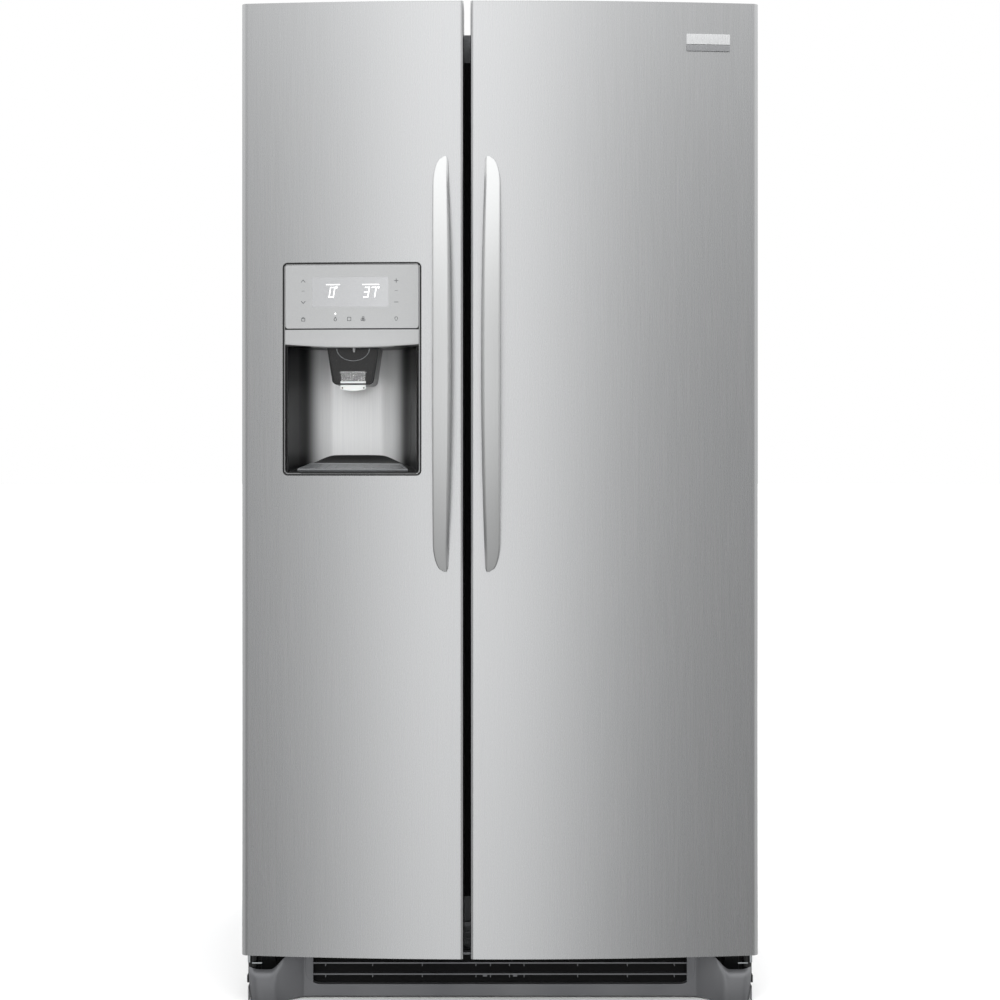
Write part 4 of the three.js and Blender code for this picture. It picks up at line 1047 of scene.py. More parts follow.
def recess_shell():
    """The lining: side walls that sweep round into a brushed silver back; the walls are drawn near
    black, painted shade for the dark they reflect.
    """
    front = [door_y(MIDDLE_X + side * RECESS_HALF) + 1.5 * MM for side in (-1, 1)]
    plan = [
        (MIDDLE_X - RECESS_HALF, front[0]),
        (MIDDLE_X - SIDE_HALF, RECESS_BACK - 38 * MM),
        (MIDDLE_X - BACK_HALF, RECESS_BACK),
        (MIDDLE_X + BACK_HALF, RECESS_BACK),
        (MIDDLE_X + SIDE_HALF, RECESS_BACK - 38 * MM),
        (MIDDLE_X + RECESS_HALF, front[1]),
    ]
    bottom = HOUSING_LO.z + 3.5 * MM
    bm = bmesh.new()
    corners = [bm.verts.new((x, y, bottom)) for x, y in plan]
    walls = [bm.edges.new(pair) for pair in zip(corners, corners[1:])]
    made = bmesh.ops.extrude_edge_only(bm, edges=walls)["geom"]
    top = [v for v in made if isinstance(v, bmesh.types.BMVert)]
    bmesh.ops.translate(bm, vec=(0, 0, RECESS_TOP + 6 * MM - bottom), verts=top)
    folds = [e for e in bm.edges if along_z(e) and not e.is_boundary]
    round_edges(bm, folds, 30 * MM, 10)
    bmesh.ops.recalc_face_normals(bm, faces=bm.faces)
    middle = min(bm.faces, key=lambda f: abs(f.calc_center_median().x - MIDDLE_X))
    if middle.normal.y > 0:
        bmesh.ops.reverse_faces(bm, faces=bm.faces)
    bmesh.ops.solidify(bm, geom=bm.faces[:], thickness=2 * MM)
    housing = ["dispenser_housing"]
    finish_piece(bm, "recess_lining", "freezer_door", "recess_shade", housing, closed=False)

    bm = bmesh.new()
    soft_block(
        bm,
        (MIDDLE_X - RECESS_HALF, door_y(MIDDLE_X + 113 * MM) + 24 * MM, RECESS_TOP + 1 * MM),
        (MIDDLE_X + RECESS_HALF, RECESS_BACK + 2 * MM, RECESS_TOP + 3 * MM),
        0.5 * MM,
    )
    finish_piece(bm, "recess_ceiling", "freezer_door", "black_plastic")


def recess_floor():
    """Black floor that rises to the back, where it rolls up into the lining."""
    low = HOUSING_LO.z + 3.6 * MM
    bm = bmesh.new()
    block(
        bm,
        (MIDDLE_X - FLOOR_HALF, -0.4 * MM, low),
        (MIDDLE_X + FLOOR_HALF, FLOOR_DEPTH, low + 3 * MM),
    )
    for level in (20, 45, 70, 88, 96, 102, 108, 113):
        place = (0, level * MM, 0)
        bmesh.ops.bisect_plane(bm, geom=every_part(bm), plane_co=place, plane_no=(0, 1, 0))
    bend_to_door(bm, 10 * MM)
    for v in bm.verts:
        back = v.co.y - door_y(v.co.x)
        v.co.y = door_y(v.co.x) + back * (RECESS_BACK - door_y(v.co.x)) / FLOOR_DEPTH
        away = abs(v.co.x - MIDDLE_X) / FLOOR_HALF
        wall = max(0.0, back / FLOOR_DEPTH)
        limit = FLOOR_HALF - 30 * MM * wall**1.5
        v.co.x = MIDDLE_X + (v.co.x - MIDDLE_X) / FLOOR_HALF * limit
        roll = max(0.0, (back - ROLL_FROM) / (FLOOR_DEPTH - ROLL_FROM))
        v.co.z += FLOOR_RISE * wall + 14 * MM * roll**2 * (1 - 0.5 * away**4)
    finish_piece(bm, "recess_floor", "freezer_door", "black_plastic", sharp=50)


def floor_rise(y, x):
    """How high the recess floor stands at a depth behind the front."""
    reach = RECESS_BACK - door_y(x)
    return FLOOR_RISE * (y - door_y(x)) / reach


def drip_tray():
    """Lift-out grey tray: a trapezoid with a raised rim and a row of drain slots."""
    bm = bmesh.new()
    half, depth = 98 * MM, 74 * MM
    front = 14 * MM
    base = HOUSING_LO.z + 7.2 * MM
    block(bm, (MIDDLE_X - half, front, base), (MIDDLE_X + half, front + depth, base + 3 * MM))
    bm.normal_update()
    top = max(bm.faces, key=lambda f: f.calc_center_median().z)
    bmesh.ops.inset_region(bm, faces=[top], thickness=4 * MM, depth=0.0)
    bmesh.ops.inset_region(bm, faces=[top], thickness=0.8 * MM, depth=-1.2 * MM)
    bend_to_door(bm, 10 * MM)
    for i in range(-4, 5):
        x = MIDDLE_X + i * 18 * MM
        soft_block(
            bm,
            (x - 2.2 * MM, door_y(x) + front + 12 * MM, base + 1.2 * MM),
            (x + 2.2 * MM, door_y(x) + front + depth - 12 * MM, base + 2.6 * MM),
            0.6 * MM,
        )
    for v in bm.verts:
        back = v.co.y - door_y(v.co.x) - front
        v.co.x = MIDDLE_X + (v.co.x - MIDDLE_X) * (1 - 0.16 * back / depth)
        v.co.z += floor_rise(v.co.y, v.co.x)
    finish_piece(bm, "drip_tray_grille", "drip_tray", "tray", ["drip_tray"], sharp=40)


def chute_hood():
    """Black hood that narrows downwards, with the bead of the chute and the water nozzle."""
    y0, y1 = HOOD_LO.y, HOOD_HI.y
    top, low = HOOD_HI.z, HOOD_LO.z
    half_top, half_low = (HOOD_HI.x - HOOD_LO.x) / 2, 36 * MM
    bm = bmesh.new()
    verts = block(bm, (MIDDLE_X - half_top, y0, low), (MIDDLE_X + half_top, y1, top))
    for v in verts:
        if v.co.z < low + 1e-6:
            v.co.x = MIDDLE_X + math.copysign(half_low, v.co.x - MIDDLE_X)
    bottom_edges = [
        e for e in edges_of(verts)
        if abs(e.verts[0].co.y - e.verts[1].co.y) > 1 * MM
        and max(v.co.z for v in e.verts) < low + 1e-6
    ]
    round_edges(bm, bottom_edges, 8 * MM, 6)
    bm.normal_update()
    face = min(bm.faces, key=lambda f: f.normal.y)
    bmesh.ops.inset_region(bm, faces=[face], thickness=2.2 * MM, depth=0.0)
    bmesh.ops.inset_region(bm, faces=[face], thickness=1.0 * MM, depth=-1.6 * MM)
    finish_piece(bm, "chute_hood_shell", "freezer_door", "black_plastic", ["chute_hood"], sharp=40)

    bm = bmesh.new()
    bead = 29 * MM
    height = top - 1 * MM
    ring = bmesh.ops.create_circle(bm, segments=8, radius=0.9 * MM)["verts"]
    bmesh.ops.translate(bm, verts=ring, vec=(MIDDLE_X - bead, y0 + 1.2 * MM, height))
    bmesh.ops.spin(
        bm,
        geom=bm.verts[:] + bm.edges[:],
        cent=(MIDDLE_X, y0 + 1.2 * MM, height),
        axis=(0, -1, 0),
        dvec=(0, 0, 0),
        angle=math.pi,
        steps=24,
        use_merge=False,
        use_duplicate=False,
    )
    bmesh.ops.holes_fill(bm, edges=[e for e in bm.edges if e.is_boundary])
    for v in bm.verts:
        drop = (height - v.co.z) / bead
        v.co.z = height - 22 * MM * drop
    finish_piece(bm, "chute_mouth_bead", "freezer_door", "tray")

    bm = bmesh.new()
    x, y = MIDDLE_X + 2 * MM, y0 - 1.5 * MM
    shoulder = top - 5 * MM
    rod(bm, (x, y, shoulder), (x, y, top), 3.2 * MM)
    rod(bm, (x, y, top - 8 * MM), (x, y, shoulder), 2.2 * MM)
    finish_piece(bm, "water_nozzle", "freezer_door", "handle_steel")


def paddle():
    """Clear lever: ribbed above, milky below with two stops, and a bowed lower edge."""
    y = PADDLE_LO.y
    half = 22 * MM
    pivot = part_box("dispenser_paddle")[1].z - 3 * MM
    top, waist, low = pivot + 2.5 * MM, pivot - 16 * MM, pivot - 33 * MM
    bm = bmesh.new()
    bars(bm, 0.5 * MM, [(about(MIDDLE_X, half), (y + 0.5 * MM, y + 2.2 * MM), (waist, top))])
    for i in range(-4, 5):
        x = MIDDLE_X + i * 4.8 * MM
        bars(bm, 0.3 * MM, [(about(x, 0.6 * MM), (y, y + 2.0 * MM), (waist, top - 1 * MM))], 1)
    left, right = about(MIDDLE_X, 24 * MM)
    rod(bm, (left, y + 2 * MM, pivot), (right, y + 2 * MM, pivot), 1.9 * MM)
    finish_piece(bm, "paddle_ribbed_web", "dispenser_paddle", "clear_plastic", ["dispenser_paddle"])
    bm = bmesh.new()
    lip = half + 0.6 * MM
    block(bm, (MIDDLE_X - lip, y, low), (MIDDLE_X + lip, y + 3 * MM, waist + 0.2 * MM))
    slice_across(bm, MIDDLE_X - half, MIDDLE_X + half, 12)
    for v in bm.verts:
        if v.co.z < low + 1e-6:
            v.co.z += 3.5 * MM * ((v.co.x - MIDDLE_X) / half) ** 2
    bm.normal_update()
    rims = [e for e in bm.edges if e.calc_face_angle(0) > 1.0]
    round_edges(bm, rims, 0.8 * MM, 2)
    finish_piece(bm, "paddle_milky_lip", "dispenser_paddle", "milky")
    bm = bmesh.new()
    for side in (-1, 1):
        x = MIDDLE_X + side * 19 * MM
        rod(bm, (x, y - 0.4 * MM, low + 5.5 * MM), (x, y + 1 * MM, low + 5.5 * MM), 1.5 * MM, 12)
    finish_piece(bm, "paddle_stops", "dispenser_paddle", "black_plastic")


def flap_disc():
    """Flap that closes the ice chute: a dished disc with a soft rim on its cross pin."""
    low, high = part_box("ice_flap")
    x = (low.x + high.x) / 2
    radius = (high.x - low.x) / 2
    bm = bmesh.new()
    rod(bm, (x, low.y + radius, low.z), (x, low.y + radius, low.z + 2.5 * MM), radius, 40)
    top = max(bm.faces, key=lambda f: f.calc_center_median().z)
    bmesh.ops.inset_region(bm, faces=[top], thickness=3 * MM, depth=0.0)
    bmesh.ops.inset_region(bm, faces=[top], thickness=1 * MM, depth=-0.9 * MM)
    pin = 1.5 * MM
    pin_y, pin_z = high.y - pin, high.z - pin
    rod(bm, (x - 8 * MM, pin_y, pin_z), (x + 8 * MM, pin_y, pin_z), pin, 12)
    finish_piece(bm, "ice_flap_disc", "ice_flap", "rubber", ["ice_flap"])


# ---- Marks of the control panel -----------------------------------------------------------------
INK = 0.35 * MM
SEGMENTS = {  # which of the seven strokes each figure lights: top, three across, uprights
    "0": "top bottom upper_left upper_right lower_left lower_right",
    "3": "top middle bottom upper_right lower_right",
    "7": "top upper_right lower_right",
}


def stroke(bm, start, end, width=0.9 * MM):
    """A flat printed line between two points given as (x, z) on the panel."""
    a, b = Vector((start[0], 0, start[1])), Vector((end[0], 0, end[1]))
    along = b - a
    verts = bmesh.ops.create_cube(bm, size=1.0)["verts"]
    bmesh.ops.scale(bm, vec=(along.length + width * 0.6, INK, width), verts=verts)
    turn = Matrix.Rotation(-math.atan2(along.z, along.x), 3, "Y")
    bmesh.ops.rotate(bm, verts=verts, cent=(0, 0, 0), matrix=turn)
    bmesh.ops.translate(bm, vec=(a + b) / 2, verts=verts)


def circle_mark(bm, x, z, radius, count=14, width=0.8 * MM, start=0.0, turn=2 * math.pi):
    """A printed arc or circle."""
    spots = [
        (
            x + radius * math.cos(start + turn * i / count),
            z + radius * math.sin(start + turn * i / count),
        )
        for i in range(count + 1)
    ]
    for pair in zip(spots, spots[1:]):
        stroke(bm, *pair, width)


def figure(bm, digit, x, z, wide, tall):
    """A slanted seven stroke figure whose lower left corner is at (x, z)."""
    lean = 0.16

    def spot(u, v):
        return (x + u * wide + lean * v * tall, z + v * tall)

    ends = {
        "bottom": ((0, 0), (1, 0)),
        "middle": ((0, 0.5), (1, 0.5)),
        "top": ((0, 1), (1, 1)),
        "lower_left": ((0, 0), (0, 0.5)),
        "upper_left": ((0, 0.5), (0, 1)),
        "lower_right": ((1, 0), (1, 0.5)),
        "upper_right": ((1, 0.5), (1, 1)),
    }
    for word in SEGMENTS[digit].split():
        (u0, v0), (u1, v1) = ends[word]
        stroke(bm, spot(u0, v0), spot(u1, v1), 1.4 * MM)


def lay_marks(bm, name, look):
    """Bends flat marks onto the control panel's face."""
    for v in bm.verts:
        v.co.y += door_y(v.co.x) - 1.2 * MM
    finish_piece(bm, name, "freezer_door", look)


def panel_marks():
    """The display window, its lit figures, and the printed symbols of the touch keys."""
    left, right = MIDDLE_X - 71 * MM, MIDDLE_X + 65 * MM
    row = PANEL_LO.z
    bm = bmesh.new()
    rounded_plate(bm, (left, right), (row + 39 * MM, row + 91 * MM), (-1.25 * MM, 0.0), 2 * MM)
    bend_to_door(bm, 10 * MM)
    finish_piece(bm, "display_window", "freezer_door", "lens")

    bm = bmesh.new()
    base = row + 56 * MM
    tall = 17 * MM
    figure(bm, "0", MIDDLE_X - 40 * MM, base, 7.5 * MM, tall)
    figure(bm, "3", MIDDLE_X + 21 * MM, base, 7.5 * MM, tall)
    figure(bm, "7", MIDDLE_X + 33 * MM, base, 7.5 * MM, tall)
    for x in (MIDDLE_X - 27 * MM, MIDDLE_X + 47 * MM):
        circle_mark(bm, x, base + tall, 1.6 * MM, 8, 0.7 * MM)
    for x0, x1 in ((-45, -21), (19, 48)):
        z = base + tall + 5 * MM
        stroke(bm, (MIDDLE_X + x0 * MM, z), (MIDDLE_X + x1 * MM, z), 1.3 * MM)
    for v in bm.verts:
        v.co.y -= 0.2 * MM
    lay_marks(bm, "display_figures", "lit")

    bm = bmesh.new()
    circle_mark(bm, MIDDLE_X - 29 * MM, row + 27 * MM, 0.7 * MM, 6, 1.2 * MM)
    lay_marks(bm, "selection_light", "lit")

    bm = bmesh.new()
    keys_left, keys_right = MIDDLE_X - 86 * MM, MIDDLE_X + 78.5 * MM
    upper, middle, lower, foot = (row + v * MM for v in (84.5, 67, 47, 17.5))
    for z, point in ((upper, 1), (lower, -1)):
        for side in (-1, 1):
            end, tip = z - point * 2 * MM, z + point * 2 * MM
            stroke(bm, (keys_left + side * 3.6 * MM, end), (keys_left, tip))
    for x in (keys_left, keys_right):
        stroke(bm, (x - 2.6 * MM, middle), (x + 2.6 * MM, middle), 0.5 * MM)
    stroke(bm, (keys_right - 3.4 * MM, upper), (keys_right + 3.4 * MM, upper))
    stroke(bm, (keys_right, upper - 3.4 * MM), (keys_right, upper + 3.4 * MM))
    stroke(bm, (keys_right - 3.4 * MM, lower), (keys_right + 3.4 * MM, lower))
    padlock(bm, keys_left, foot)
    lamp_mark(bm, keys_right, foot)
    drop_mark(bm, MIDDLE_X - 29 * MM, foot)
    cube_mark(bm, MIDDLE_X - 4.5 * MM, foot, 3.0 * MM)
    for x, z in ((-2.6, -1.4), (1.4, -1.9), (-0.4, 2.2)):
        cube_mark(bm, MIDDLE_X + 20.5 * MM + x * MM, foot + z * MM, 1.5 * MM)
    lay_marks(bm, "touch_key_symbols", "ink")


def padlock(bm, x, z):
    """Key lock symbol."""
    low, high, half = z - 3.4 * MM, z + 1.0 * MM, 3.0 * MM
    for a, b in (((x - half, low), (x + half, low)), ((x - half, high), (x + half, high))):
        stroke(bm, a, b, 0.8 * MM)
    for side in (-1, 1):
        stroke(bm, (x + side * half, low), (x + side * half, high), 0.8 * MM)
    circle_mark(bm, x, high, 2.0 * MM, 8, 0.8 * MM, 0, math.pi)


def lamp_mark(bm, x, z):
    """Light bulb symbol."""
    circle_mark(bm, x, z + 1.0 * MM, 2.6 * MM, 12, 0.8 * MM, math.radians(-60), math.radians(300))
    stroke(bm, (x - 1.2 * MM, z - 3.0 * MM), (x + 1.2 * MM, z - 3.0 * MM), 0.8 * MM)


def drop_mark(bm, x, z):
    """Water symbol."""
    circle_mark(bm, x, z - 1.0 * MM, 2.3 * MM, 10, 0.8 * MM, math.radians(150), math.radians(240))
    for side in (-1, 1):
        stroke(bm, (x + side * 2.0 * MM, z + 0.1 * MM), (x, z + 3.6 * MM), 0.8 * MM)


def cube_mark(bm, x, z, half):
    """Ice symbol: a square outline."""
    corners = [(x + u * half, z + v * half) for u, v in ((-1, -1), (1, -1), (1, 1), (-1, 1))]
    for pair in zip(corners, corners[1:] + corners[:1]):
        stroke(bm, *pair, 0.8 * MM)


recess_strip(dispenser_front())
recess_shell()
recess_floor()
drip_tray()
chute_hood()
paddle()
flap_disc()
panel_marks()


# ---- Toe grille, foot covers and lower hinges ---------------------------------------------------
DOOR_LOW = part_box("freezer_door_skin")[0].z
GRILLE_FRONT = CASE_FACE - 44 * MM
GRILLE_BACK = GRILLE_FRONT + 12 * MM
GRILLE_HALF = 347 * MM
GRILLE_OPEN = (25 * MM, 77 * MM)
GRILLE_FRAME = 376 * MM
SLAT_LEVELS = (42 * MM, 62 * MM)
NIB_PLACES = (-312, -228, -139, -43, -17, 17, 43, 139, 228, 312)
COVER_SWELL = 30 * MM
COVER_SKIN = 2.4 * MM


def toe_grille():
    """Frame with a wide opening, two slats and a row of short ribs."""
    bm = bmesh.new()
    low, high = 3.5 * MM, DOOR_LOW - 4 * MM
    block(bm, (-GRILLE_FRAME, GRILLE_FRONT, low), (GRILLE_FRAME, GRILLE_BACK, high))
    bm.normal_update()
    ends = [f for f in bm.faces if abs(f.normal.y) > 0.9]
    for face in ends:
        step_in(bm, face, (-GRILLE_HALF, GRILLE_HALF), GRILLE_OPEN)
    bridge_ends(bm, ends)
    corners = [
        e for e in bm.edges
        if all(abs(v.co.z - GRILLE_OPEN[0]) < 1e-6 for v in e.verts)
        and abs(e.verts[0].co.y - e.verts[1].co.y) > 1 * MM
    ]
    round_edges(bm, corners, 26 * MM, 8)
    bm.normal_update()
    lips = [
        e for e in bm.edges
        if e.calc_face_angle(0) > 1.0 and all(abs(v.co.y - GRILLE_FRONT) < 1e-6 for v in e.verts)
    ]
    round_edges(bm, lips, 1.5 * MM, 3)
    finish_piece(bm, "toe_grille_frame", "cabinet", "grille", ["kick_plate"])

    bm = bmesh.new()
    slat_depth = (GRILLE_FRONT + 2 * MM, GRILLE_BACK - 1 * MM)
    nib_depth = (GRILLE_FRONT + 3 * MM, GRILLE_BACK - 1 * MM)
    wide = about(0, GRILLE_HALF + 4 * MM)
    bars(bm, 0.6 * MM, [(wide, slat_depth, about(z, 1.4 * MM)) for z in SLAT_LEVELS])
    nibs = [
        (about(x * MM, 0.9 * MM), nib_depth, (z - 6 * MM, z))
        for x in NIB_PLACES
        for z in SLAT_LEVELS
    ]
    bars(bm, 0.4 * MM, nibs, 1)
    clips = [(about(x * MM, 4 * MM), nib_depth, (37 * MM, 42 * MM)) for x in (-27, 27)]
    bars(bm, 1 * MM, clips)
    finish_piece(bm, "toe_grille_slats", "cabinet", "grille")

    # painted shade: a matt black sheet behind the grille, and black cheeks under the door corners,
    # where there is only shadow
    bm = bmesh.new()
    panel_depth = (CASE_FACE - 24 * MM, CASE_FACE - 22 * MM)
    bars(bm, 0.5 * MM, [(about(0, 400 * MM), panel_depth, (6 * MM, DOOR_LOW - 3 * MM))])
    cheek_depth = (CASE_FACE - 3.4 * MM, CASE_FACE - 1.6 * MM)
    cheeks = [((x, x + 44 * MM), cheek_depth, (3 * MM, 99 * MM)) for x in (-446 * MM, 402 * MM)]
    bars(bm, 0.4 * MM, cheeks)
    finish_piece(bm, "toe_painted_shade_black", "cabinet", "painted_shade_black")

    bm = bmesh.new()
    middle = sum(v.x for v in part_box("mullion_cover")) / 2
    depth = (CASE_FACE - 9 * MM, CASE_FACE - 6 * MM)
    louvres = [
        (about(middle, 26 * MM), depth, (z * MM, (z + tall) * MM))
        for z, tall in ((94, 2), (106, 2), (118, 8))
    ]
    bars(bm, 0.6 * MM, louvres)
    finish_piece(bm, "mullion_foot_louvres", "cabinet", "grille")


def smooth(value):
    """Smooth step from 0 to 1, held at both ends."""
    t = min(1.0, max(0.0, value))
    return t * t * (3 - 2 * t)


def foot_cover(side):
    """Swollen cover in front of a levelling leg, one skin that dips into the grille at its inner
    end and opens in a shallow bow under the hinge."""
    columns, rows = 34, 12
    inner, outer = 334 * MM, 447 * MM
    bm = bmesh.new()
    bmesh.ops.create_grid(bm, x_segments=columns, y_segments=rows, size=0.5)
    for v in bm.verts:
        u, w = v.co.x + 0.5, v.co.y + 0.5
        x = inner + (outer - inner) * u
        drop = smooth((u - 0.14) / 0.3)
        low = 3.4 * MM - 2.2 * MM * drop
        bow = smooth((u - 0.36) / 0.3)
        high = (DOOR_LOW - 5 * MM) - bow * 24 * MM + 2.5 * MM * smooth((u - 0.8) / 0.2)
        swell = smooth((u - 0.1) / 0.5)
        round_off = 9 * MM * max(0.0, (u - 0.86) / 0.14) ** 2.2
        belly = 4 * MM * (2 * w - 1) ** 2
        roll = 7 * MM * max(0.0, (w - 0.82) / 0.18) ** 2
        y = GRILLE_FRONT + 0.6 * MM - (COVER_SWELL - belly) * swell + round_off + roll * bow
        z = low + (high - low) * w
        lean = 4.5 * MM * (1 - w) * max(0.0, (u - 0.7) / 0.3)
        v.co = (side * (x - lean), y, z)
    aim_skin(bm, bm.faces[:][len(bm.faces) // 2], (0, -1, 0))
    bmesh.ops.solidify(bm, geom=bm.faces[:], thickness=COVER_SKIN)
    word = "left" if side < 0 else "right"
    finish_piece(bm, f"foot_cover_{word}", "cabinet", "grille", sharp=50, closed=False)

    bm = bmesh.new()
    depth = (GRILLE_FRONT + 9 * MM - COVER_SWELL, GRILLE_BACK)
    bars(bm, 0.8 * MM, [(mirrored(side, 445, 447), depth, (2 * MM, 29 * MM))])
    finish_piece(bm, f"foot_cover_{word}_cheek", "cabinet", "grille")


def lower_hinge(side):
    """Pressed bracket: arm, upright, nylon bush and pin, and the bright clip plate over them. The
    bracket is drawn in black enamel in place of its zinc plating, as painted shade for the shadow
    under the door.
    """
    word = "left" if side < 0 else "right"
    lo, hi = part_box(f"lower_hinge_{word}")
    pin_x, pin_y = side * 440 * MM, DOOR_BACK - 34 * MM
    bush_top = 81 * MM
    arm = (lo.y, CASE_FACE - 4 * MM)
    bm = bmesh.new()
    bracket = (
        (mirrored(side, 404, 450), arm, (lo.z, lo.z + 4 * MM)),
        (mirrored(side, 404, 432), (CASE_FACE - 8 * MM, arm[1]), (lo.z, hi.z)),
        (mirrored(side, 447, 450), arm, (lo.z, lo.z + 14 * MM)),
    )
    bars(bm, 1.2 * MM, bracket)
    for x in (411, 425):
        head = Vector((side * x * MM, CASE_FACE - 8 * MM, 60 * MM))
        rod(bm, head, head - Vector((0, 2.2 * MM, 0)), 4.5 * MM, 6)
    node = f"lower_hinge_{word}"
    # painted shade: the bracket is drawn black so that it reads as the shadow under the door
    finish_piece(bm, f"{node}_bracket", "cabinet", "black_steel", [node])
    bm = bmesh.new()
    rod(bm, (pin_x, pin_y, lo.z + 4 * MM), (pin_x, pin_y, bush_top), 9 * MM, 24)
    finish_piece(bm, f"lower_hinge_{word}_bush", "cabinet", "black_plastic")
    bm = bmesh.new()
    rod(bm, (pin_x, pin_y, bush_top), (pin_x, pin_y, hi.z), 5.5 * MM, 24)
    depth = (pin_y - 11.5 * MM, pin_y - 9.2 * MM)
    clip = (
        (mirrored(side, 423, 441), depth, (66 * MM, 68.5 * MM)),
        (mirrored(side, 444, 448.5), depth, (68 * MM, bush_top)),
    )
    bars(bm, 0.6 * MM, clip)
    finish_piece(bm, f"lower_hinge_{word}_pin", "cabinet", "zinc")


def name_plate():
    """Blank badge in two tones: a lighter upper field over a darker lower band."""
    lo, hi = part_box("badge")
    split = lo.z + (hi.z - lo.z) * 0.38
    for name, look, z_span, deep in (
        ("badge_upper_field", "badge_light", (split + 0.3 * MM, hi.z), -2.5 * MM),
        ("badge_lower_band", "badge_dark", (lo.z, split - 0.3 * MM), -2.3 * MM),
    ):
        bm = bmesh.new()
        rounded_plate(bm, (lo.x, hi.x), z_span, (deep, -0.3 * MM), 1.2 * MM, 3)
        bm.normal_update()
        soften(bm, deep, 0.5 * MM)
        bend_to_door(bm, 12 * MM)
        finish_piece(bm, name, "fridge_door", look, ["badge"] if look == "badge_light" else ())


toe_grille()
for side in (-1, 1):
    foot_cover(side)
    lower_hinge(side)
name_plate()


# ---- Insides ------------------------------------------------------------------------------------
def open_tub(
    name, node, body, look, lo, hi, corner=14 * MM, wall=2.4 * MM, draft=4 * MM, rim=3 * MM
):
    """Moulded tub: rounded corners, walls that lean in towards the floor, and a rolled rim."""
    bm = bmesh.new()
    verts = block(bm, lo, hi)
    bm.normal_update()
    top = max(bm.faces, key=lambda f: f.normal.z)
    bmesh.ops.delete(bm, geom=[top], context="FACES_ONLY")
    centre = (Vector(lo) + Vector(hi)) / 2
    for v in verts:
        if v.co.z < centre.z:
            v.co.x -= math.copysign(draft, v.co.x - centre.x)
            v.co.y -= math.copysign(draft, v.co.y - centre.y)
    uprights = [e for e in bm.edges if along_z(e)]
    round_edges(bm, uprights, corner, 5)
    bm.normal_update()
    floor_rim = [
        e for e in bm.edges
        if len(e.link_faces) == 2
        and max(v.co.z for v in e.verts) < centre.z
        and e.calc_face_angle(0) > 0.8
    ]
    round_edges(bm, floor_rim, min(corner * 0.6, 6 * MM), 3)
    aim_skin(bm, min(bm.faces, key=lambda f: f.calc_center_median().z), (0, 0, -1))
    bmesh.ops.solidify(bm, geom=bm.faces[:], thickness=wall)
    lip = wall + 1.2 * MM
    x_run, y_run = (lo[0] + corner, hi[0] - corner), (lo[1] + corner, hi[1] - corner)
    tall = (hi[2] - rim, hi[2])
    rims = (
        (x_run, (lo[1], lo[1] + lip), tall),
        (x_run, (hi[1] - lip, hi[1]), tall),
        ((lo[0], lo[0] + lip), y_run, tall),
        ((hi[0] - lip, hi[0]), y_run, tall),
    )
    bars(bm, 0.9 * MM, rims)
    return finish_piece(bm, name, body, look, [node] if node else (), sharp=40, closed=False)


def door_bin(name, body):
    """Clear bin with a silver trimmed retaining rail over its front wall."""
    lo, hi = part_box(name)
    low, high = lo.copy(), hi.copy()
    high.z -= 16 * MM
    open_tub(f"{name}_tub", name, body, "clear_plastic", low, high)
    bm = bmesh.new()
    front = (hi.y - 3 * MM, hi.y)
    bars(bm, 1.2 * MM, [((lo.x + 20 * MM, hi.x - 20 * MM), front, (hi.z - 6 * MM, hi.z))])
    posts = [
        (about(x, 3 * MM), front, (high.z - 6 * MM, hi.z - 3 * MM))
        for x in (lo.x + 23 * MM, hi.x - 23 * MM)
    ]
    bars(bm, 1 * MM, posts)
    finish_piece(bm, f"{name}_rail", body, "clear_plastic")
    bm = bmesh.new()
    depth = (hi.y - 2.6 * MM, hi.y - 0.1 * MM)
    strip = ((lo.x + 16 * MM, hi.x - 16 * MM), depth, (high.z - 20 * MM, high.z - 12 * MM))
    bars(bm, 0.8 * MM, [strip])
    finish_piece(bm, f"{name}_trim", body, "silver_plastic")


def drawer(name, look):
    """Drawer tub with a moulded pull across its front."""
    lo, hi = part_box(name)
    low = lo + Vector((0, 12 * MM, 0))
    open_tub(f"{name}_tub", name, name, look, low, hi, 22 * MM, 2.6 * MM, 6 * MM, 5 * MM)
    bm = bmesh.new()
    wide = (lo.x + 60 * MM, hi.x - 60 * MM)
    top = hi.z - 20 * MM
    bars(bm, 2 * MM, [(wide, (lo.y, low.y + 3 * MM), (top - 6 * MM, top))], 3)
    bars(bm, 1.8 * MM, [(wide, (lo.y, lo.y + 4 * MM), (top - 14 * MM, top))], 3)
    finish_piece(bm, f"{name}_pull", name, "white_plastic")


def framed_shelf(name, trim):
    """Glass pane in a white moulded frame with a deeper front edge."""
    lo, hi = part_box(name)
    bm = bmesh.new()
    block(bm, lo, hi)
    bm.normal_update()
    ends = [f for f in bm.faces if abs(f.normal.z) > 0.9]
    for face in ends:
        bmesh.ops.inset_region(bm, faces=[face], thickness=trim)
    bridge_ends(bm, ends)
    bm.normal_update()
    round_edges(bm, [e for e in bm.edges if e.calc_face_angle(0) > 1.0], 2.4 * MM, 3)
    finish_piece(bm, f"{name}_frame", "cabinet", "white_plastic", [name])
    bm = bmesh.new()
    pane = lo.z + 5 * MM
    inset = trim - 4 * MM
    wide, deep = (lo.x + inset, hi.x - inset), (lo.y + inset, hi.y - inset)
    bars(bm, 0.5 * MM, [(wide, deep, (pane, pane + 4 * MM))])
    finish_piece(bm, f"{name}_pane", "cabinet", "shelf_glass")
    bm = bmesh.new()
    wide, deep = (lo.x + 6 * MM, hi.x - 6 * MM), (lo.y - 1.5 * MM, lo.y + 1 * MM)
    bars(bm, 0.8 * MM, [(wide, deep, (lo.z + 2 * MM, hi.z - 2 * MM))])
    finish_piece(bm, f"{name}_front_trim", "cabinet", "silver_plastic")


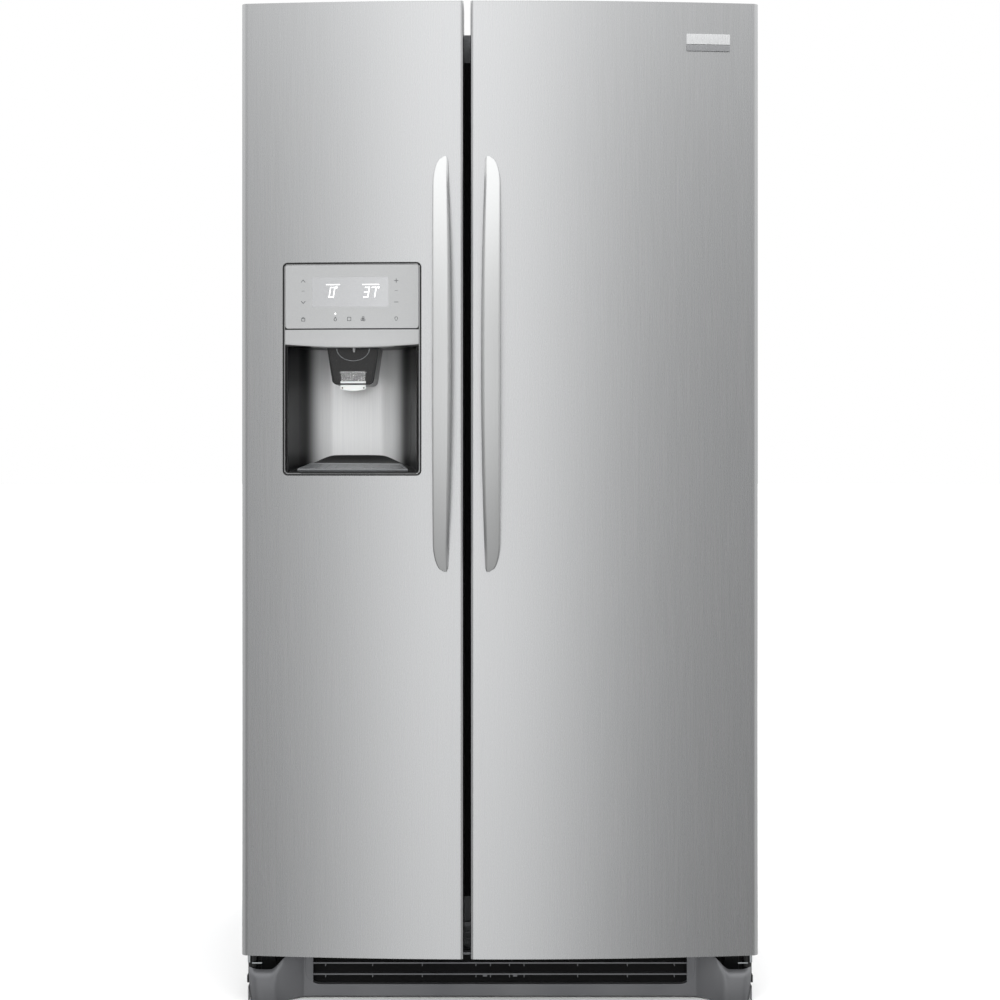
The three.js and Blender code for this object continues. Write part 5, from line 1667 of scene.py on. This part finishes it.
def compartment(name, hump_front, hump_top):
    """Vacuum formed lining: every inside edge is rounded, with the step over the machinery."""
    lo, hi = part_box(name)
    bm = bmesh.new()
    outline = [
        (lo.y, lo.z),
        (lo.y, hi.z),
        (hi.y, hi.z),
        (hi.y, hump_top),
        (hump_front, hump_top),
        (hump_front, lo.z),
    ]
    corners = [bm.verts.new((lo.x, y, z)) for y, z in outline]
    face = bm.faces.new(corners)
    extrude_up(bm, face, hi.x - lo.x, (1, 0, 0))
    bmesh.ops.recalc_face_normals(bm, faces=bm.faces)
    mouth = [f for f in bm.faces if f.normal.y < -0.9 and f.calc_center_median().y < lo.y + 1e-6]
    bmesh.ops.delete(bm, geom=mouth, context="FACES_ONLY")
    folds = [e for e in bm.edges if len(e.link_faces) == 2 and e.calc_face_angle(0) > 1.0]
    round_edges(bm, folds, 16 * MM, 5)
    aim_skin(bm, max(bm.faces, key=lambda f: f.calc_center_median().z), (0, 0, -1))
    bmesh.ops.solidify(bm, geom=bm.faces[:], thickness=-2 * MM)
    finish_piece(bm, f"{name}_formed", "cabinet", "white_plastic", [name], closed=False)


def shelf_ledges(name, levels, lo, hi):
    """Moulded ledges on both walls under each shelf."""
    bm = bmesh.new()
    walls = ((lo.x + 1 * MM, lo.x + 4.4 * MM), (hi.x - 4.4 * MM, hi.x - 1 * MM))
    run = (CASE_FACE + 110 * MM, CASE_FACE + 600 * MM)
    bars(bm, 1.2 * MM, [(wall, run, (z - 9 * MM, z - 1 * MM)) for z in levels for wall in walls])
    finish_piece(bm, name, "cabinet", "white_plastic")


def lit_ceiling():
    """Control housing in the top of the fresh food side: rounded shell, vents and lamp."""
    lo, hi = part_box("control_housing")
    bm = bmesh.new()
    soft_block(bm, lo, hi, 7 * MM, 4)
    finish_piece(bm, "control_housing_shell", "cabinet", "white_plastic", ["control_housing"])
    bm = bmesh.new()
    lens = ((lo.x + 60 * MM, hi.x - 60 * MM), (lo.y + 30 * MM, lo.y + 180 * MM))
    bars(bm, 2 * MM, [(*lens, (lo.z - 3 * MM, lo.z + 2 * MM))], 3)
    finish_piece(bm, "ceiling_lamp_lens", "cabinet", "lamp")
    bm = bmesh.new()
    depth, tall = (lo.y - 0.6 * MM, lo.y + 1 * MM), (lo.z + 20 * MM, hi.z - 16 * MM)
    starts = [lo.x + 90 * MM + i * 18 * MM for i in range(14)]
    bars(bm, 0.5 * MM, [((x, x + 5 * MM), depth, tall) for x in starts])
    finish_piece(bm, "ceiling_air_slots", "cabinet", "dark_plastic")


def ice_maker():
    """Ice mould with its dividers, the rounded motor box, the wire arm and the hanger."""
    lo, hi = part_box("ice_maker")
    box_back = CASE_FACE + 181 * MM
    bm = bmesh.new()
    soft_block(bm, (lo.x + 2 * MM, lo.y, 1470 * MM), (-150 * MM, box_back, 1590 * MM), 8 * MM, 4)
    hanger = (CASE_FACE + 440 * MM, CASE_FACE + 480 * MM)
    bars(bm, 2 * MM, [((lo.x, -340 * MM), hanger, (1550 * MM, hi.z))])
    finish_piece(bm, "ice_maker_motor_box", "cabinet", "white_plastic", ["ice_maker"])
    low, high = Vector((-384, 0, 1480)) * MM, Vector((-150, 0, 1560)) * MM
    low.y, high.y = box_back, CASE_FACE + 470 * MM
    sizes = (18 * MM, 6 * MM, 12 * MM)
    open_tub("ice_maker_mould", None, "cabinet", "bare_aluminium", low, high, *sizes)
    bm = bmesh.new()
    wide, tall = (low.x + 12 * MM, high.x - 12 * MM), (low.z + 10 * MM, high.z - 10 * MM)
    for i in range(1, 8):
        y = low.y + (high.y - low.y) * i / 8
        bars(bm, 1 * MM, [(wide, about(y, 1.5 * MM), tall)])
    finish_piece(bm, "ice_maker_dividers", "cabinet", "bare_aluminium")
    bm = bmesh.new()
    arm_x, arm_z = -146 * MM, 1466 * MM
    stops = [
        at(-146, 0, 1498) + Vector((0, CASE_FACE + 168 * MM, 0)),
        Vector((arm_x, CASE_FACE + 172 * MM, arm_z)),
        Vector((arm_x, CASE_FACE + 430 * MM, arm_z)),
    ]
    for pair in zip(stops, stops[1:]):
        rod(bm, *pair, 1.8 * MM, 12)
    finish_piece(bm, "ice_level_wire", "cabinet", "zinc")


def back_wall_of_freezer():
    """Evaporator cover: a panel with rounded edges, air slots and a fan grille."""
    lo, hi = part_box("evaporator_cover")
    bm = bmesh.new()
    soft_block(bm, lo, hi, 1.4 * MM)
    finish_piece(bm, "evaporator_cover_panel", "cabinet", "white_plastic", ["evaporator_cover"])
    bm = bmesh.new()
    wide, depth = (lo.x + 50 * MM, hi.x - 50 * MM), (lo.y - 0.8 * MM, lo.y + 1 * MM)
    bars(bm, 0.5 * MM, [(wide, depth, (z * MM, (z + 8) * MM)) for z in (380, 400, 1590, 1610)])
    fan_lo, fan_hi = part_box("evaporator_fan")
    x, z = (fan_lo.x + fan_hi.x) / 2, (fan_lo.z + fan_hi.z) / 2
    for i in range(-4, 5):
        reach = math.sqrt(max(0, 1 - (i / 4.6) ** 2)) * 50 * MM
        bars(bm, 0.5 * MM, [(about(x, reach), depth, about(z + i * 11 * MM, 2 * MM))])
    finish_piece(bm, "evaporator_cover_slots", "cabinet", "dark_plastic")


def dairy_lid():
    """Clear lid of the dairy compartment, curved at its front upper edge, with a lifting lip."""
    lo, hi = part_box("dairy_cover")
    pin = hi.z - 3 * MM
    bm = bmesh.new()
    block(bm, (lo.x + 3 * MM, lo.y + 3 * MM, lo.z), (hi.x - 3 * MM, hi.y - 8 * MM, pin + 2 * MM))
    bm.normal_update()
    keep = [f for f in bm.faces if f.normal.z > 0.9 or f.normal.y > 0.9]
    bmesh.ops.delete(bm, geom=[f for f in bm.faces if f not in keep], context="FACES")
    fold = [e for e in bm.edges if len(e.link_faces) == 2]
    round_edges(bm, fold, 24 * MM, 8)
    bmesh.ops.solidify(bm, geom=bm.faces[:], thickness=2.5 * MM)
    lip = ((lo.x + 113 * MM, hi.x - 113 * MM), (hi.y - 10 * MM, hi.y), (lo.z, lo.z + 8 * MM))
    bars(bm, 2 * MM, [lip], 3)
    rod(bm, (lo.x, lo.y + 3 * MM, pin), (hi.x, lo.y + 3 * MM, pin), 3 * MM, 16)
    name = "dairy_cover"
    finish_piece(bm, "dairy_lid_clear", name, "clear_plastic", [name], closed=False)


for bin_name, door in (
    ("freezer_bin_upper", "freezer_door"),
    ("freezer_bin_lower", "freezer_door"),
    ("fridge_bin_lower", "fridge_door"),
    ("fridge_bin_upper", "fridge_door"),
):
    door_bin(bin_name, door)
dairy_lo, dairy_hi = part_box("dairy_bin")
open_tub("dairy_bin_tub", "dairy_bin", "fridge_door", "clear_plastic", dairy_lo, dairy_hi)
dairy_lid()
drawer("crisper_upper", "clear_plastic")
drawer("crisper_lower", "clear_plastic")
drawer("freezer_basket", "white_plastic")
bucket_lo, bucket_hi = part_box("ice_bucket")
open_tub(
    "ice_bucket_tub",
    "ice_bucket",
    "ice_bucket",
    "clear_plastic",
    bucket_lo,
    bucket_hi,
    corner=20 * MM,
    wall=3 * MM,
    draft=3 * MM,
)
for shelf_name, trim in (
    ("freezer_shelf_upper", 12 * MM),
    ("freezer_shelf_lower", 12 * MM),
    ("glass_shelf_upper", 14 * MM),
    ("glass_shelf_middle", 14 * MM),
    ("crisper_cover", 14 * MM),
):
    framed_shelf(shelf_name, trim)
compartment("freezer_liner", CASE_FACE + 480 * MM, 330 * MM)
compartment("fridge_liner", CASE_FACE + 480 * MM, 330 * MM)
for wall_name, node, shelves in (
    ("freezer_ledges", "freezer_liner", ("freezer_shelf_upper", "freezer_shelf_lower")),
    ("fridge_ledges", "fridge_liner", ("glass_shelf_upper", "glass_shelf_middle", "crisper_cover")),
):
    shelf_ledges(wall_name, [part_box(shelf)[0].z for shelf in shelves], *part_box(node))
lit_ceiling()
ice_maker()
back_wall_of_freezer()


# ---- Case, back and machinery -------------------------------------------------------------------
def case_sheet():
    """Painted wrapper bent over the top corners, with the flange turned in round the openings."""
    lo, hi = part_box("case_wrapper")
    bm = bmesh.new()
    block(bm, lo, hi)
    bm.normal_update()
    gone = [f for f in bm.faces if abs(f.normal.y) > 0.9 or f.normal.z < -0.9]
    bmesh.ops.delete(bm, geom=gone, context="FACES")
    round_edges(bm, [e for e in bm.edges if len(e.link_faces) == 2], 4 * MM, 4)
    top = max(bm.faces, key=lambda f: f.calc_center_median().z)
    if top.normal.z < 0:
        bmesh.ops.reverse_faces(bm, faces=bm.faces)
    bmesh.ops.solidify(bm, geom=bm.faces[:], thickness=0.9 * MM)
    freezer_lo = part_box("freezer_liner")[0]
    fridge_lo, fridge_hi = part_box("fridge_liner")
    inner = 1 * MM
    lap = 2 * MM
    front, tall = (lo.y + 0.1 * MM, lo.y + 1 * MM), (lo.z + inner, hi.z - inner)
    between = (freezer_lo.x, fridge_hi.x)
    front_flange = (
        ((lo.x + inner, freezer_lo.x + lap), front, tall),
        ((fridge_hi.x - lap, hi.x - inner), front, tall),
        (between, front, (lo.z + inner, fridge_lo.z + lap)),
        (between, front, (fridge_hi.z - lap, hi.z - inner)),
    )
    bars(bm, 0.3 * MM, front_flange, 1)
    rear, edge, border = (hi.y - 0.3 * MM, hi.y + 0.7 * MM), inner * 0.3, 12 * MM
    panel_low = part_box("back_panel")[0].z
    across = (lo.x + border - inner, hi.x - border + inner)
    rear_flange = (
        ((lo.x + edge, lo.x + border), rear, tall),
        ((hi.x - border, hi.x - edge), rear, tall),
        (across, rear, (hi.z - border, hi.z - edge)),
        (across, rear, (panel_low - 5 * MM, panel_low + 6 * MM)),
    )
    bars(bm, 0.3 * MM, rear_flange, 1)
    wrapper = ["case_wrapper"]
    finish_piece(bm, "case_sheet", "cabinet", "case_paint", wrapper, sharp=35, closed=False)


def tubing(name, look, runs, radius, body="cabinet"):
    """Round tubes through a list of points, with a ball at each turn."""
    bm = bmesh.new()
    for points in runs:
        stops = [Vector(point) * MM for point in points]
        for start, end in zip(stops, stops[1:]):
            rod(bm, start, end, radius, 14)
        for stop in stops[1:-1]:
            place = Matrix.Translation(stop)
            bmesh.ops.create_uvsphere(bm, u_segments=14, v_segments=8, radius=radius, matrix=place)
    finish_piece(bm, name, body, look, sharp=50)


def screw_heads(name, places, along, radius=4 * MM, body="cabinet", look="zinc"):
    """Hexagon flange screws: a washer and a six sided head along one axis."""
    bm = bmesh.new()
    step = Vector(along)
    for place in places:
        base = Vector(place) * MM
        rod(bm, base, base + step * 0.8 * MM, radius * 1.35, 20)
        rod(bm, base, base + step * 3 * MM, radius, 6)
    finish_piece(bm, name, body, look, sharp=30)


def back_side():
    """Ribs on the back sheet, and the screws of the back sheet and of the rear cover."""
    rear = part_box("back_panel")[1].y / MM
    bm = bmesh.new()
    depth = ((rear - 0.5) * MM, (rear + 2) * MM)
    tall = (380 * MM, 1660 * MM)
    bars(bm, 1.9 * MM, [(about(x * MM, 6 * MM), depth, tall) for x in range(-300, 301, 150)], 4)
    finish_piece(bm, "back_sheet_ribs", "cabinet", "zinc")
    places = [(x, rear, z) for x in (-436, 0, 436) for z in (330, 1000, 1700)]
    screw_heads("back_sheet_screws", places, (0, 1, 0))
    cover_lo, cover_hi = (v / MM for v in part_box("rear_cover"))
    cover_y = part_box("rear_cover")[1].y / MM - 3.2
    places = [
        (x, cover_y, z)
        for x in (cover_lo.x + 14, 0, cover_hi.x - 14)
        for z in (cover_lo.z + 10, cover_hi.z - 10)
    ]
    screw_heads("rear_cover_screws", places, (0, 1, 0), 3 * MM)


def machine_tubes():
    """Suction, discharge and process tubes, and the box over the compressor terminals."""
    low, high = (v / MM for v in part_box("compressor"))
    x0, x1 = low.x, high.x
    y = (low.y + high.y) / 2
    top = high.z
    condenser_lo, condenser_hi = (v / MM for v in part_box("condenser"))
    tubing(
        "discharge_tube",
        "copper",
        [[
            (x1 - 20, y - 30, top - 40),
            (x1 + 14, y - 30, top - 40),
            (x1 + 14, y - 30, top + 20),
            (x1 + 60, condenser_lo.y + 4, top + 20),
            (condenser_lo.x + 6, condenser_lo.y + 4, top + 20),
            (condenser_lo.x + 6, condenser_lo.y + 4, condenser_hi.z - 6),
        ]],
        2.4 * MM,
    )
    tubing(
        "suction_tube",
        "copper",
        [[
            (x0 + 30, y + 20, top - 50),
            (x0 - 22, y + 20, top - 50),
            (x0 - 22, y + 20, top + 20),
            (x0 - 22, CASE_FACE / MM + 514, top + 20),
        ]],
        4 * MM,
    )
    tubing(
        "process_tube",
        "copper",
        [[(x1 - 50, y + 40, top - 30), (x1 - 50, y + 40, top + 24)]],
        3 * MM,
    )
    bm = bmesh.new()
    soft_block(
        bm,
        Vector((x1 - 4, y + 0, low.z + 40)) * MM,
        Vector((x1 + 26, y + 52, low.z + 92)) * MM,
        4 * MM,
        3,
    )
    finish_piece(bm, "compressor_terminal_cover", "cabinet", "black_plastic")


case_sheet()
for node_name, radius in (
    ("back_panel", 0.6),
    ("base_frame", 0.6),
    ("rear_cover", 0.8),
    ("cord_gland", 1.5),
    ("upper_hinge_left", 0.8),
    ("upper_hinge_right", 0.8),
    ("hinge_cover_left", 4),
    ("hinge_cover_right", 4),
    ("levelling_leg_left", 0.8),
    ("levelling_leg_right", 0.8),
    ("rear_roller_left", 1.5),
    ("rear_roller_right", 1.5),
    ("compressor", 6),
    ("condenser", 0.8),
    ("drain_pan", 2.5),
    ("condenser_fan", 1),
    ("evaporator", 0.6),
    ("evaporator_fan", 1),
    ("ice_auger", 1),
):
    eased_copy(f"{node_name}_finished", node_name, radius * MM)
# painted shade: the mullion cover is drawn matt black for the shade in the narrow gap between the
# doors
eased_copy("mullion_trim", "mullion_cover", 0.3 * MM, "painted_shade_black")
back_side()
machine_tubes()
